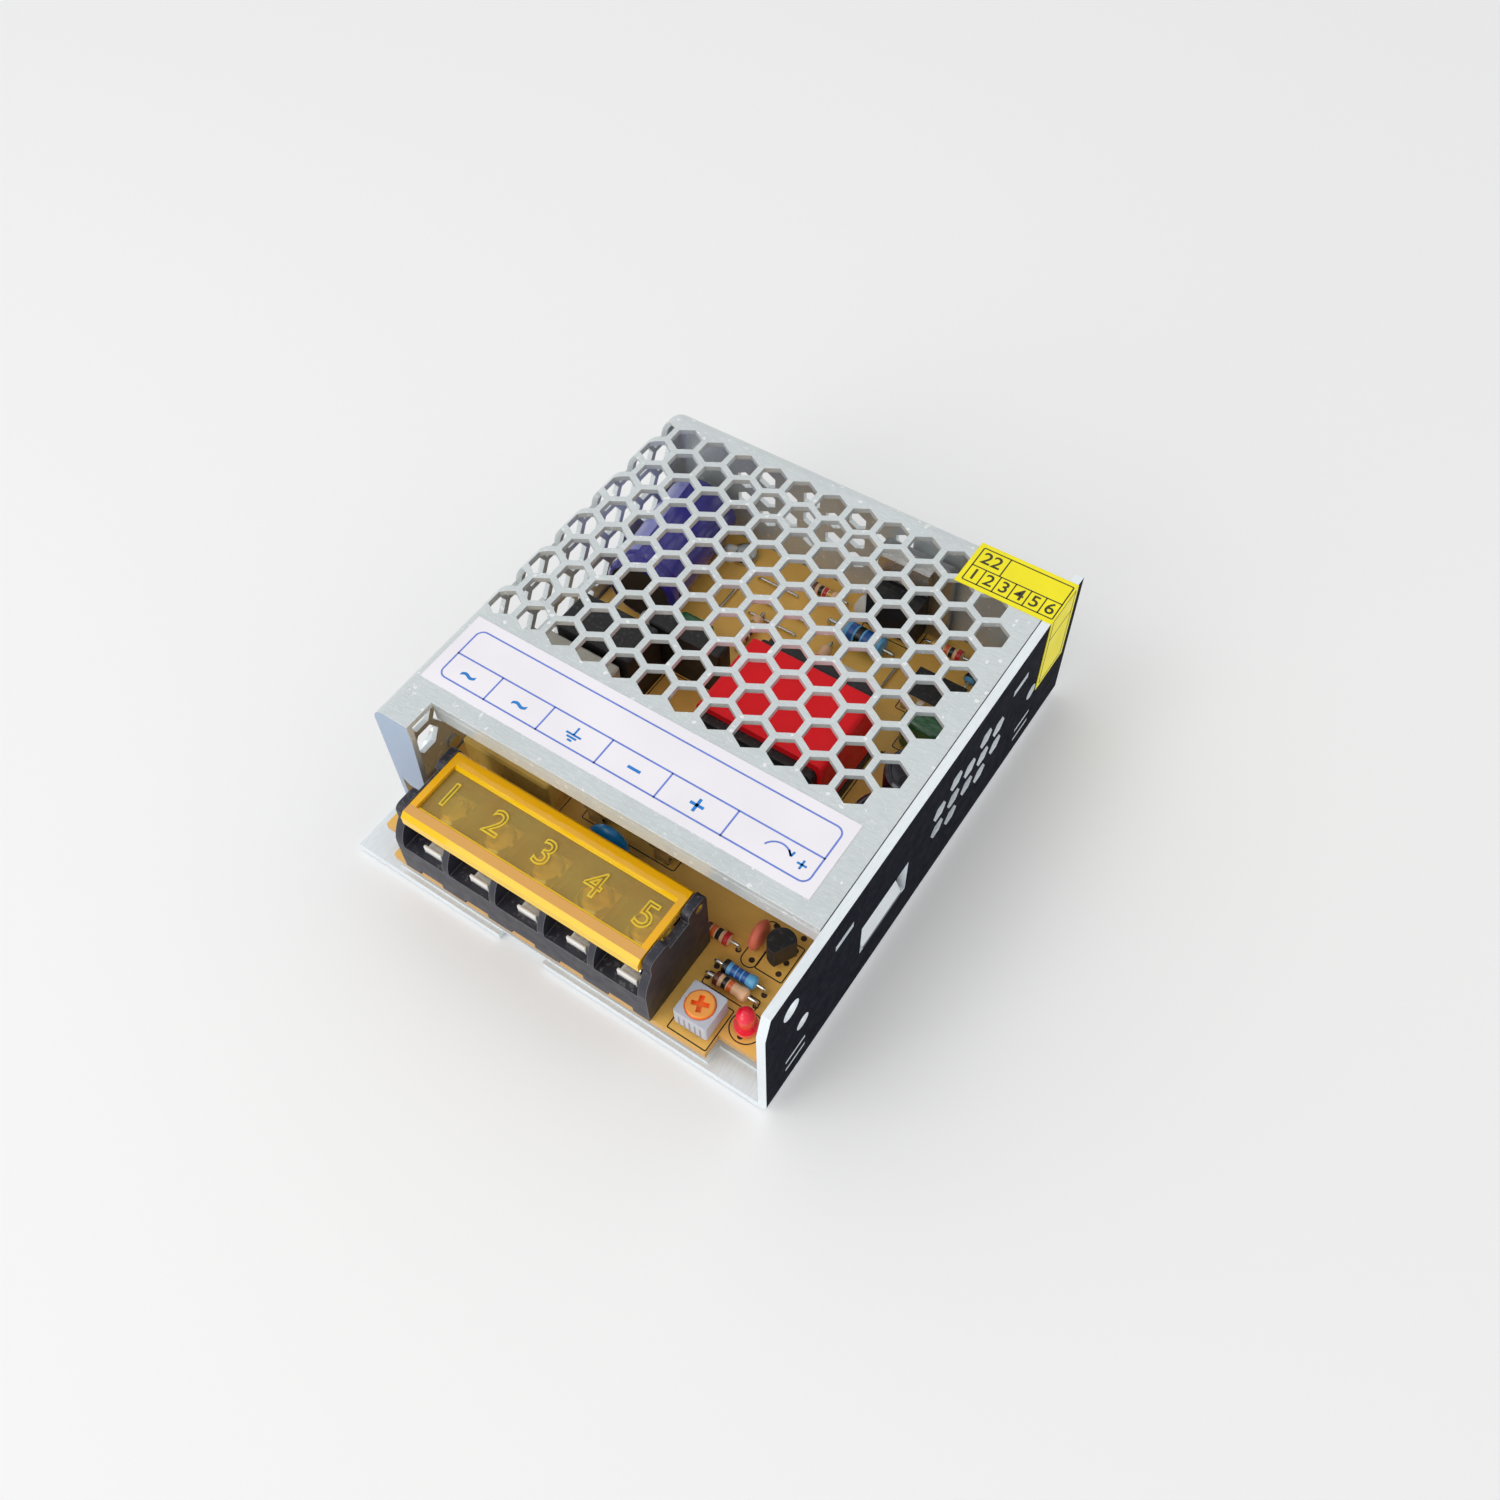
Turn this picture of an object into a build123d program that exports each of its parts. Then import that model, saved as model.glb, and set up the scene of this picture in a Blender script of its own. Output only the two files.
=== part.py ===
"""Slim mesh-case switching power supply, millimetres.

The frame has its origin at the centre of the footprint on the bottom face, +X to the
right seen from the terminal end, +Y to the rear and +Z up.
"""

import os
from math import cos, floor, pi, radians, sin, sqrt

from build123d import *

# Overall case
CASE_WIDTH = 82.0
CASE_LENGTH = 93.0
CASE_HEIGHT = 30.5

# Base chassis, bent from aluminium sheet
BASE_SHEET = 1.5
BASE_BEND = 2.0
WALL_CHAMFER_RUN = 1.4
WALL_CHAMFER_DROP = 4.6
FRONT_RECESS_CENTRE = -6.0
FRONT_RECESS_WIDTH = 9.0
FRONT_RECESS_DEPTH = 2.1
SIDE_TAB_WIDTH = 10.0
SIDE_TAB_HEIGHT = 11.0
SIDE_TAB_CLEAR = 5.2
SIDE_TAB_FRONT_INSET = 22.0
SIDE_TAB_REAR_INSET = 16.0
HOOK_SLOT_LENGTH = 4.8
HOOK_SLOT_HEIGHT = 1.4
HOOK_SLOT_DROP = 6.9
HOOK_FRONT_INSET = 20.3
HOOK_REAR_INSET = 19.5
EARTH_HOLE_DIAMETER = 3.8
EARTH_HOLE_INSET = 6.4
EARTH_HOLE_DROP = 6.0
SIDE_MOUNT_DIAMETER = 3.0
SIDE_MOUNT_HEIGHT = 15.0
SIDE_MOUNT_FRONT_INSET = 9.5
SIDE_MOUNT_SPACING = 70.0
BASE_MOUNT_DIAMETER = 3.0
BASE_MOUNT_SPACING_X = 50.0
BASE_MOUNT_SPACING_Y = 60.0
BASE_MOUNT_OFFSET_Y = 3.0
VENT_FLATS = 3.4
VENT_COLUMN_PITCH = 4.72
VENT_ROW_PITCH = 4.9
VENT_SIDE_CENTRE_Y = 11.0
VENT_SIDE_CENTRE_Z = 17.3
VENT_REAR_CENTRE_X = -4.2
VENT_REAR_CENTRE_Z = 18.0
WINDOW_FRONT_INSET = 25.5
WINDOW_LENGTH = 13.5
WINDOW_BOTTOM = 9.5
WINDOW_HEIGHT = 8.0
TONGUE_ANGLE = 24.0
TONGUE_SHORTENING = 1.0
RIB_SLOT_LENGTH = 5.2
RIB_SLOT_HEIGHT = 0.7
RIB_HEIGHT = 1.9
RIB_REACH = 1.3
RIB_CLEARANCE = 0.1
RIB_FRONT_INSET = 5.1
RIB_REAR_INSET = 12.2

# Perforated cover, bent from galvanised steel sheet
COVER_SHEET = 1.0
COVER_BEND = 2.8
COVER_LEFT_STEP = 2.4
COVER_SEAM = 0.2
COVER_FRONT_SETBACK = 16.2
COVER_REAR_SETBACK = 1.5
COVER_FOOT_GAP = 0.3
LIP_HEIGHT = 4.0
LIP_BEND = 1.6
FLANGE_OVERHANG = 5.8
FLANGE_WIDTH = 7.4
FLANGE_TAPER = 1.3
FLANGE_BOTTOM = 10.4
FLANGE_CHAMFER = 1.2
HEX_PITCH = 6.0
HEX_FLATS = 4.9
HEX_LEFT_INSET = 3.9
HEX_RIGHT_MARGIN = 2.5
HEX_FRONT_INSET = 21.9
HEX_REAR_INSET = 5.5
WALL_HEX_DEPTH = 4
WALL_HEX_EXTRA_ROWS = 4
HOOK_WIDTH = 4.2
HOOK_REACH = 0.9

# Printed label and seal
PAPER = 0.12
LABEL_DEPTH = 14.3
LABEL_FRONT_MARGIN = 3.0
LABEL_LEFT_MARGIN = 2.4
LABEL_RIGHT_MARGIN = 3.7
SEAL_LENGTH = 17.2
SEAL_WIDTH = 9.6
SEAL_REAR_MARGIN = 0.6
SEAL_DROP = 17.0

# Circuit board
BOARD = 1.6
BOARD_LIFT = 2.9
BOARD_SIDE_GAP = 0.4
BOARD_FRONT_SETBACK = 0.5
BOARD_NOTCH_RIGHT = 9.3
BOARD_NOTCH_LEFT = 5.0
BOARD_NOTCH_DEPTH = 3.6
BOARD_REAR_GAP = 0.6
BOSS_DIAMETER = 5.6
BOSS_BORE = 2.6
BOSS_LEFT_INSET = 5.0
BOSS_RIGHT_INSET = 5.2
BOSS_FRONT_INSET = 10.5
BOSS_MIDDLE_INSET = 29.8
BOSS_REAR_OFFSET = 17.0
BOSS_REAR_INSET = 4.2
INSULATOR = 0.4
BOARD_SCREW_HEAD = 5.0
BOARD_SCREW_HEIGHT = 1.8
BOARD_SCREW_HOLE = 3.2
BOARD_SCREW_GAP = 1.0
COVER_SCREW_HEAD = 5.2
COVER_SCREW_HEIGHT = 0.8
COVER_SCREW_LENGTH = 3.2

# Terminal block
WAYS = 5
WAY_PITCH = 9.5
BLOCK_FLANGE_GAP = 2.2
BLOCK_DEPTH = 16.0
BLOCK_FRONT_SETBACK = 0.1
END_WALL = 1.5
DIVIDER = 1.2
SHELF_HEIGHT = 6.8
BLOCK_BACK_WALL = 1.5
BARRIER_HEIGHT = 13.2
EAR_HEIGHT = 15.2
EAR_LENGTH = 4.6
SHOULDER_STEP = 1.0
BARRIER_BULGE = 0.8
EAR_FRONT_SETBACK = 2.0
PIN_DIAMETER = 1.6
PIN_CLEARANCE = 0.05
HINGE_BACK_INSET = 1.9
HINGE_DROP = 1.7
FOOT_NOTCH = 0.9
FOOT_NOTCH_HEIGHT = 1.2
HINGE_CLEAR_RADIUS = 2.3
EAR_ROUND = 1.2

# Terminal hardware
CONTACT_PLATE = 0.8
CONTACT_WIDTH = 6.4
CONTACT_LENGTH = 7.6
CLAMP_PLATE = 1.0
CLAMP_SIDE = 6.6
CLAMP_TAB_WIDTH = 2.7
CLAMP_TAB_START = 0.0
CLAMP_TAB_REACH = 2.3
CLAMP_TAB_DROP = 0.5
CLAMP_GAP = 0.6
SCREW_DIAMETER = 3.0
SCREW_CLEARANCE = 0.05
SCREW_HEAD_DIAMETER = 5.6
SCREW_HEAD_HEIGHT = 1.9
SCREW_SLOT = 0.8
SCREW_BACK_FROM_FRONT = 8.2
SCREW_POINT = 0.6
SCREW_TAIL = 1.8
SCREW_WELL = 3.6
SCREW_RECESS = 1.0
SCREW_CROSS = 3.2

# Clear cover over the terminals
LID_THICKNESS = 1.2
LID_END_GAP = 0.25
LID_RAIL = 2.4
LID_RAIL_RISE = 0.8
LID_LIP_DROP = 0.6
LID_FRONT_OVERHANG = 0.7
LID_REAR_OVERHANG = 0.5
LID_SEAT_GAP = 0.1

# Trimmer
TRIMMER_SIDE = 6.0
TRIMMER_HEIGHT = 3.6
TRIMMER_STANDOFF = 0.9
TRIMMER_LEG = 1.0
TRIMMER_SHARE = 0.369
TRIMMER_FRONT_INSET = 4.5
ROTOR_DIAMETER = 4.8
ROTOR_HEIGHT = 1.4
ROTOR_SINK = 1.0
ROTOR_CLEARANCE = 0.05
CROSS_SLOT = 0.8
CROSS_LENGTH = 2.8
CROSS_DEPTH = 0.7
CROSS_TURN = 20.0
ROTOR_BEVEL = 0.3

# Indicator
LED_DIAMETER = 3.0
LED_FLANGE = 3.8
LED_HEIGHT = 5.2
LED_FLANGE_HEIGHT = 1.0
LED_SHARE = 0.19
LED_FRONT_INSET = 6.8
LED_LIFT = 0.6
LEG_SIDE = 0.5
LEG_PITCH = 2.54

# Axial parts
AXIAL_WAIST = 0.86
AXIAL_KNOB = 0.24
AXIAL_END = 0.55
RESISTOR_DIAMETER = 2.3
RESISTOR_LENGTH = 6.2
RESISTOR_LEAD = 0.6
RESISTOR_PITCH = 9.0
POWER_RESISTOR_DIAMETER = 4.4
POWER_RESISTOR_LENGTH = 9.6
POWER_RESISTOR_PITCH = 13.6
POWER_RESISTOR_X = 9.0
POWER_RESISTOR_TURN = -4.0
LEAD_STUB = 0.4
FRONT_RESISTOR_SHARE = 0.302
REAR_RESISTOR_SHARE = 0.651
POWER_RESISTOR_SHARE = 0.305

# Input side
BULK_DIAMETER = 14.0
BULK_LENGTH = 24.0
BULK_TURN = 6.0
BULK_WALL_GAP = 0.4
BULK_REAR_INSET = 14.8
INPUT_FILM_SIZE = (18.0, 6.5, 8.0)
LINE_FILM_SIZE = (16.5, 6.0, 11.0)
LINE_FILM_Y = -4.0
FILTER_SIZE = (16.0, 8.6, 12.2)
FILTER_Y = 4.1
FUSE_DIAMETER = 5.2
FUSE_LENGTH = 18.0
FUSE_CAP = 5.0
FUSE_LIFT = 1.0
FUSE_X = -1.4
THERMISTOR_DIAMETER = 9.0
THERMISTOR_THICKNESS = 3.6
THERMISTOR_X = -7.0
BRIDGE_SIZE = (15.0, 3.6, 11.0)
BRIDGE_AT = (-13.0, 11.4)

# Transformer
WINDING_WIDTH = 23.6
WINDING_DEPTH = 16.0
WINDING_TOP = 17.0
WINDING_CENTRE = (11.2, 4.4)
WINDING_ROUND = 1.2
BOBBIN_FLANGE = 1.6
BOBBIN_INSET = 0.8
BOBBIN_DROP = 1.4
CORE_YOKE = 4.0
CORE_WIDTH = 20.0
CORE_TOP = 14.6
CORE_BOTTOM = 2.2
CORE_ROUND = 0.5

# Output side
OUTPUT_CAP_DIAMETER = 9.0
OUTPUT_CAP_HEIGHT = 15.0
OUTPUT_CAP_WALL_GAP = 0.8
OUTPUT_CAP_FRONT_GAP = 0.15
OUTPUT_CAP_PITCH = 9.7
CHIP_SIZE = (9.2, 6.4, 3.3)
CHIP_STANDOFF = 0.5
CHIP_BEVEL = 0.3
CHIP_LEG_WIDTH = 0.8
CHIP_SHOULDER_WIDTH = 1.2
CHIP_LEG_SPREAD = 0.9
CHIP_LEG_SHEET = 0.3
CHIP_LEG_RISE = 0.9
OPTO_SIZE = (6.4, 4.6, 3.3)
OPTO_AT = (12.0, 22.6)
CHOKE_OUTER = 8.4
CHOKE_INNER = 3.2
CHOKE_HEIGHT = 4.6
CHOKE_BEVEL = 0.8
CHOKE_RIGHT_INSET = 13.8
CHOKE_CORE_GAP = 0.5
GREEN_FILM_SIZE = (8.6, 4.2, 8.0)
SMALL_GREEN_SIZE = (7.0, 3.4, 5.4)
SMALL_GREEN_Y = 17.4
SINK_PLATE = 1.5
SINK_LENGTH = 14.0
SINK_HEIGHT = 18.0
SINK_REAR_INSET = 0.6
POWER_BODY = (10.0, 4.5, 15.2)
POWER_TAB = 1.3
POWER_TAB_HOLE = 3.2
POWER_BODY_SHARE = 0.6
POWER_LEG = (0.8, 0.6)
POWER_LIFT = 0.9
RECTIFIER_LIFT = 3.6
BLUE_DISC_DIAMETER = 7.6
BLUE_DISC_THICKNESS = 3.2
BLUE_DISC_X = -2.2
CERAMIC_DIAMETER = 5.4
CERAMIC_THICKNESS = 2.0
DISC_LEG_PITCH = 5.0
CERAMIC_LEG_PITCH = 3.0
SMALL_PACKAGE_RADIUS = 2.35
SMALL_PACKAGE_WIDTH = 4.0
SMALL_PACKAGE_FLAT = 1.2
SMALL_PACKAGE_HEIGHT = 4.6
SMALL_PACKAGE_LIFT = 1.6
SMALL_PACKAGE_TURN = 62.0

# Values that follow from the ones above
HALF_W = CASE_WIDTH / 2
HALF_L = CASE_LENGTH / 2
BASE_TOP = BASE_SHEET
BOARD_BOTTOM = BASE_TOP + BOARD_LIFT
BOARD_TOP = BOARD_BOTTOM + BOARD
WALL_INNER_X = HALF_W - BASE_SHEET
COVER_LEFT_X = -HALF_W + COVER_LEFT_STEP
COVER_RIGHT_X = WALL_INNER_X - COVER_SEAM
COVER_FRONT_Y = -HALF_L + COVER_FRONT_SETBACK
COVER_REAR_Y = HALF_L - COVER_REAR_SETBACK
COVER_UNDER = CASE_HEIGHT - COVER_SHEET
FLANGE_Y = COVER_FRONT_Y - FLANGE_OVERHANG
HEX_ROW = HEX_PITCH * sqrt(3) / 2
HEX_FIRST_X = COVER_LEFT_X + HEX_LEFT_INSET
HEX_LAST_X = COVER_RIGHT_X - HEX_RIGHT_MARGIN - (HEX_FLATS + HEX_PITCH) / 2
HEX_COLUMNS = floor((HEX_LAST_X - HEX_FIRST_X) / HEX_PITCH) + 1
HEX_FIRST_Y = COVER_FRONT_Y + HEX_FRONT_INSET
HEX_ROWS = floor((COVER_REAR_Y - HEX_REAR_INSET - HEX_FIRST_Y) / HEX_ROW) + 1
HOOK_SLOT_Z = CASE_HEIGHT - HOOK_SLOT_DROP
HOOK_YS = (-HALF_L + HOOK_FRONT_INSET, HALF_L - HOOK_REAR_INSET)
TAB_YS = (-HALF_L + SIDE_TAB_FRONT_INSET, HALF_L - SIDE_TAB_REAR_INSET)
BLOCK_LEFT_X = COVER_LEFT_X + FLANGE_WIDTH + BLOCK_FLANGE_GAP
BLOCK_WIDTH = WAYS * WAY_PITCH + END_WALL
BLOCK_RIGHT_X = BLOCK_LEFT_X + BLOCK_WIDTH
BLOCK_FRONT_Y = -HALF_L + BLOCK_FRONT_SETBACK
BLOCK_BACK_Y = BLOCK_FRONT_Y + BLOCK_DEPTH
WAY_XS = [BLOCK_LEFT_X + END_WALL / 2 + WAY_PITCH * (way + 0.5) for way in range(WAYS)]
SHELF_Z = BOARD_TOP + SHELF_HEIGHT
BARRIER_Z = BOARD_TOP + BARRIER_HEIGHT
EAR_Z = BOARD_TOP + EAR_HEIGHT
HINGE_Y = BLOCK_BACK_Y - HINGE_BACK_INSET
HINGE_Z = EAR_Z - HINGE_DROP
SCREW_Y = BLOCK_FRONT_Y + SCREW_BACK_FROM_FRONT
CONTACT_TOP = SHELF_Z + CONTACT_PLATE
CLAMP_BOTTOM = CONTACT_TOP + CLAMP_GAP
CLAMP_TOP = CLAMP_BOTTOM + CLAMP_PLATE
HEAD_BOTTOM = CLAMP_TOP + SCREW_CLEARANCE
LID_UNDER = BARRIER_Z + LID_SEAT_GAP
FRONT_STRIP = WALL_INNER_X - RIB_REACH - BLOCK_RIGHT_X
FRONT_ROOM = FRONT_STRIP - TRIMMER_SIDE - LED_FLANGE
TRIMMER_X = BLOCK_RIGHT_X + TRIMMER_SHARE * FRONT_ROOM + TRIMMER_SIDE / 2
LED_X = TRIMMER_X + TRIMMER_SIDE / 2 + LED_SHARE * FRONT_ROOM + LED_FLANGE / 2
TRIMMER_TOP = BOARD_TOP + TRIMMER_STANDOFF + TRIMMER_HEIGHT
RIB_YS = (-HALF_L + RIB_FRONT_INSET + RIB_SLOT_LENGTH / 2, HALF_L - RIB_REAR_INSET - RIB_SLOT_LENGTH / 2)
RIB_BOTTOM = BOARD_TOP + RIB_CLEARANCE
TAB_SCREW_Z = SIDE_TAB_HEIGHT - COVER_SCREW_HEAD / 2
BOARD_LEFT_X = COVER_LEFT_X + COVER_SHEET + BOARD_SIDE_GAP
BOARD_RIGHT_X = WALL_INNER_X - BOARD_SIDE_GAP
BOARD_FRONT_Y = -HALF_L + BOARD_FRONT_SETBACK
BOARD_REAR_Y = COVER_REAR_Y - COVER_SHEET - BOARD_REAR_GAP
BOSS_POINTS = [
    (BOARD_LEFT_X + BOSS_LEFT_INSET, BOARD_FRONT_Y + BOSS_FRONT_INSET),
    (BOARD_RIGHT_X - BOSS_RIGHT_INSET, BOARD_REAR_Y - BOSS_MIDDLE_INSET),
    (BOARD_LEFT_X + BOSS_REAR_OFFSET, BOARD_REAR_Y - BOSS_REAR_INSET),
    (BOARD_RIGHT_X - BOSS_RIGHT_INSET, BOARD_REAR_Y - BOSS_REAR_INSET),
]
BOARD_NOTCH_RIGHT_X = BOARD_RIGHT_X - BOARD_NOTCH_RIGHT
BOARD_NOTCH_LEFT_X = BOARD_LEFT_X + BOARD_NOTCH_LEFT
TRIMMER_Y = BOARD_FRONT_Y + TRIMMER_FRONT_INSET
LED_Y = BOARD_FRONT_Y + LED_FRONT_INSET
MIDDLE_BOSS_Y = BOSS_POINTS[1][1]
WINDOW_FRONT_Y = -HALF_L + WINDOW_FRONT_INSET
SINK_REAR_Y = BOARD_REAR_Y - SINK_REAR_INSET
SEAL_FRONT_Y = COVER_REAR_Y - SEAL_REAR_MARGIN - SEAL_WIDTH
BASE_MOUNT_POINTS = [
    (side * BASE_MOUNT_SPACING_X / 2, BASE_MOUNT_OFFSET_Y + end * BASE_MOUNT_SPACING_Y / 2)
    for side in (-1, 1)
    for end in (-1, 1)
]


def on_board(left=None, right=None, front=None, rear=None, x=None, y=None):
    """Place on the board, measured from the edge that the part keeps to."""
    if left is not None:
        x = BOARD_LEFT_X + left
    if right is not None:
        x = BOARD_RIGHT_X - right
    if front is not None:
        y = BOARD_FRONT_Y + front
    if rear is not None:
        y = BOARD_REAR_Y - rear
    return x, y


RESISTOR_SPAN = RESISTOR_PITCH + RESISTOR_LEAD
FRONT_RESISTOR_X = BLOCK_RIGHT_X + FRONT_RESISTOR_SHARE * (FRONT_STRIP - RESISTOR_SPAN) + RESISTOR_SPAN / 2
BULK_HALF_SPAN = BULK_DIAMETER / 2 * cos(radians(BULK_TURN)) + BULK_LENGTH / 2 * sin(radians(BULK_TURN))
BULK_AT = on_board(left=BULK_WALL_GAP - BOARD_SIDE_GAP + BULK_HALF_SPAN, rear=BULK_REAR_INSET)
INPUT_FILM_AT = on_board(left=13.2, front=23.4)
LINE_FILM_AT = on_board(left=10.6, y=LINE_FILM_Y)
FILTER_AT = on_board(left=12.2, y=FILTER_Y)
FUSE_AT = on_board(x=FUSE_X, front=25.5)
THERMISTOR_AT = on_board(x=THERMISTOR_X, front=32.0)
BLUE_DISC_AT = on_board(x=BLUE_DISC_X, front=19.4)
SMALL_GREEN_AT = on_board(left=20.8, y=SMALL_GREEN_Y)
CHIP_AT = on_board(right=13.1, rear=14.8)
GREEN_FILM_AT = on_board(
    right=9.7, y=MIDDLE_BOSS_Y + BOARD_SCREW_HEAD / 2 + BOARD_SCREW_GAP + GREEN_FILM_SIZE[1] / 2
)
SINK_AT = on_board(right=25.1, rear=SINK_REAR_INSET)
POWER_TRANSISTOR_X = on_board(right=26.9)[0]
CERAMIC_AT = on_board(right=12.5, front=19.4)
SMALL_PACKAGE_AT = on_board(right=8.2, front=19.1)
CORE_FRONT_Y = WINDING_CENTRE[1] - WINDING_DEPTH / 2 - BOBBIN_FLANGE - CORE_YOKE
CHOKE_AT = on_board(right=CHOKE_RIGHT_INSET, y=CORE_FRONT_Y - CHOKE_CORE_GAP - CHOKE_OUTER / 2)
OUTPUT_CAP_X = WALL_INNER_X - OUTPUT_CAP_WALL_GAP - OUTPUT_CAP_DIAMETER / 2
RECTIFIER_Y = WINDOW_FRONT_Y + WINDOW_LENGTH / 2
OUTPUT_CAP_START = RECTIFIER_Y + POWER_BODY[0] / 2 + OUTPUT_CAP_FRONT_GAP
OUTPUT_CAP_ROOM = MIDDLE_BOSS_Y - BOARD_SCREW_HEAD / 2 - OUTPUT_CAP_START
OUTPUT_CAP_COUNT = floor(OUTPUT_CAP_ROOM / OUTPUT_CAP_PITCH)
CORE_REAR_Y = WINDING_CENTRE[1] + WINDING_DEPTH / 2 + BOBBIN_FLANGE + CORE_YOKE / 2
TRANSISTOR_FRONT_Y = SINK_REAR_Y - SINK_PLATE - POWER_BODY[1]
POWER_RESISTOR_LEAN = radians(abs(POWER_RESISTOR_TURN))
POWER_RESISTOR_DEPTH = POWER_RESISTOR_DIAMETER * cos(POWER_RESISTOR_LEAN) + POWER_RESISTOR_LENGTH * sin(
    POWER_RESISTOR_LEAN
)
REAR_ROOM = TRANSISTOR_FRONT_Y - CORE_REAR_Y - RESISTOR_SPAN - POWER_RESISTOR_DEPTH
REAR_RESISTOR_Y = CORE_REAR_Y + REAR_RESISTOR_SHARE * REAR_ROOM + RESISTOR_SPAN / 2
POWER_RESISTOR_Y = TRANSISTOR_FRONT_Y - POWER_RESISTOR_SHARE * REAR_ROOM - POWER_RESISTOR_DEPTH / 2
POWER_RESISTOR_AT = on_board(x=POWER_RESISTOR_X, y=POWER_RESISTOR_Y)
TAN_RESISTORS = [
    (on_board(right=19.1, front=16.8), 0.0),
    (on_board(x=FRONT_RESISTOR_X, front=10.5), 0.0),
    (on_board(x=-2.0, rear=4.8), 0.0),
    (on_board(right=16.2, rear=4.6), 0.0),
    (on_board(x=5.0, y=REAR_RESISTOR_Y), 90.0),
    ((-9.0, 24.0), 90.0),
]
BLUE_RESISTORS = [
    (on_board(x=FRONT_RESISTOR_X, front=12.9), 0.0),
    (on_board(right=9.7, rear=5.6), 90.0),
    ((0.0, 22.0), 90.0),
]


def block(x, y, z):
    """Box between two corners, each axis given as (low, high)."""
    size = [high - low for low, high in (x, y, z)]
    middle = [(high + low) / 2 for low, high in (x, y, z)]
    return Pos(*middle) * Box(*size)


def standing(x, y, z, diameter, height):
    """Upright cylinder whose foot is at z."""
    return Pos(x, y, z) * Cylinder(diameter / 2, height, align=(Align.CENTER, Align.CENTER, Align.MIN))


def lying_x(x, y, z, diameter, length):
    """Cylinder along X, centred on the point."""
    return Pos(x, y, z) * Rot(0, 90, 0) * Cylinder(diameter / 2, length)


def along_x(face, low, high):
    """Solid of a side-view face between two places along X."""
    return Pos(low, 0, 0) * extrude(face, high - low, dir=(1, 0, 0))


def along_y(face, low, high):
    """Solid of a front-view face between two places along Y."""
    return Pos(0, low, 0) * extrude(face, high - low, dir=(0, 1, 0))


def side_face(*points):
    """Face from (y, z) points."""
    return make_face(Plane.YZ * Polyline(*points, close=True))


def front_face(*points):
    """Face from (x, z) points."""
    return make_face(Plane.XZ * Polyline(*points, close=True))


def turned(*points, axis=Axis.Z):
    """Solid of revolution from (radius, height) points, closed on its axis."""
    plane = Plane.XZ if axis == Axis.Z else Plane.XY
    return revolve(make_face(plane * Polyline(*points, close=True)), axis)


def pan_head(diameter, height):
    """Screw head with a flat seat and a shouldered crown, its seat on the XY plane."""
    radius = diameter / 2
    return turned(
        (0, 0),
        (radius, 0),
        (radius, height * 0.5),
        (radius - height * 0.18, height * 0.85),
        (radius - height * 0.5, height),
        (0, height),
    )


def edges_near(shape, axis, test):
    """Edges along an axis whose middle passes a test."""
    return shape.edges().filter_by(axis).filter_by(lambda edge: test(edge.center()))


def hexagon_x(flats, depth, x, y, z):
    """Hexagonal punch along X, corners pointing forward and back."""
    punch = extrude(RegularPolygon(flats / 2, 6, major_radius=False, rotation=0), depth / 2, both=True)
    return Pos(x, y, z) * Rot(0, 90, 0) * Rot(0, 0, 90) * punch


def staggered(columns, rows, column_pitch, row_pitch):
    """Places of a staggered vent field about its centre, longer columns on odd numbers."""
    places = []
    for column in range(columns):
        count = rows if column % 2 else rows - 1
        for row in range(count):
            along = (column - (columns - 1) / 2) * column_pitch
            places.append((along, (row - (count - 1) / 2) * row_pitch))
    return places


def base_chassis():
    """Floor and right wall bent from one sheet, with bosses, lanced tabs, slots and vents."""
    section = front_face(
        (-HALF_W, 0),
        (HALF_W, 0),
        (HALF_W, CASE_HEIGHT),
        (WALL_INNER_X, CASE_HEIGHT),
        (WALL_INNER_X, BASE_TOP),
        (-HALF_W, BASE_TOP),
    )
    body = along_y(section, -HALF_L, HALF_L)
    body = fillet(edges_near(body, Axis.Y, lambda c: c.X > HALF_W - 0.01 and c.Z < 0.01), BASE_BEND)
    corner = edges_near(body, Axis.Y, lambda c: abs(c.X - WALL_INNER_X) < 0.01 and abs(c.Z - BASE_TOP) < 0.01)
    body = fillet(corner, max(BASE_BEND - BASE_SHEET, 0.3))
    for x, y in BOSS_POINTS:
        body += standing(x, y, BASE_TOP, BOSS_DIAMETER, BOARD_LIFT)
    body -= front_recess() + wall_corner()
    body -= wall_openings()
    for x, y in BOSS_POINTS:
        body -= standing(x, y, 0, BOSS_BORE, BOARD_BOTTOM)
    for x, y in BASE_MOUNT_POINTS:
        body -= standing(x, y, 0, BASE_MOUNT_DIAMETER, BASE_SHEET)
    for y in TAB_YS:
        body += side_tab(y)
    for y in RIB_YS:
        body += board_rib(y)
    return body + transistor_tongue()


def front_recess():
    """Shallow round-cornered bite out of the floor's front edge, under the terminals."""
    depth = FRONT_RECESS_DEPTH
    bite = Pos(FRONT_RECESS_CENTRE, -HALF_L) * RectangleRounded(FRONT_RECESS_WIDTH, 2 * depth, depth * 0.6)
    return extrude(bite, BASE_SHEET)


def wall_corner():
    """Slanted front top corner of the right wall."""
    face = side_face(
        (-HALF_L, CASE_HEIGHT),
        (-HALF_L + WALL_CHAMFER_RUN, CASE_HEIGHT),
        (-HALF_L, CASE_HEIGHT - WALL_CHAMFER_DROP),
    )
    return along_x(face, WALL_INNER_X, HALF_W)


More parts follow.
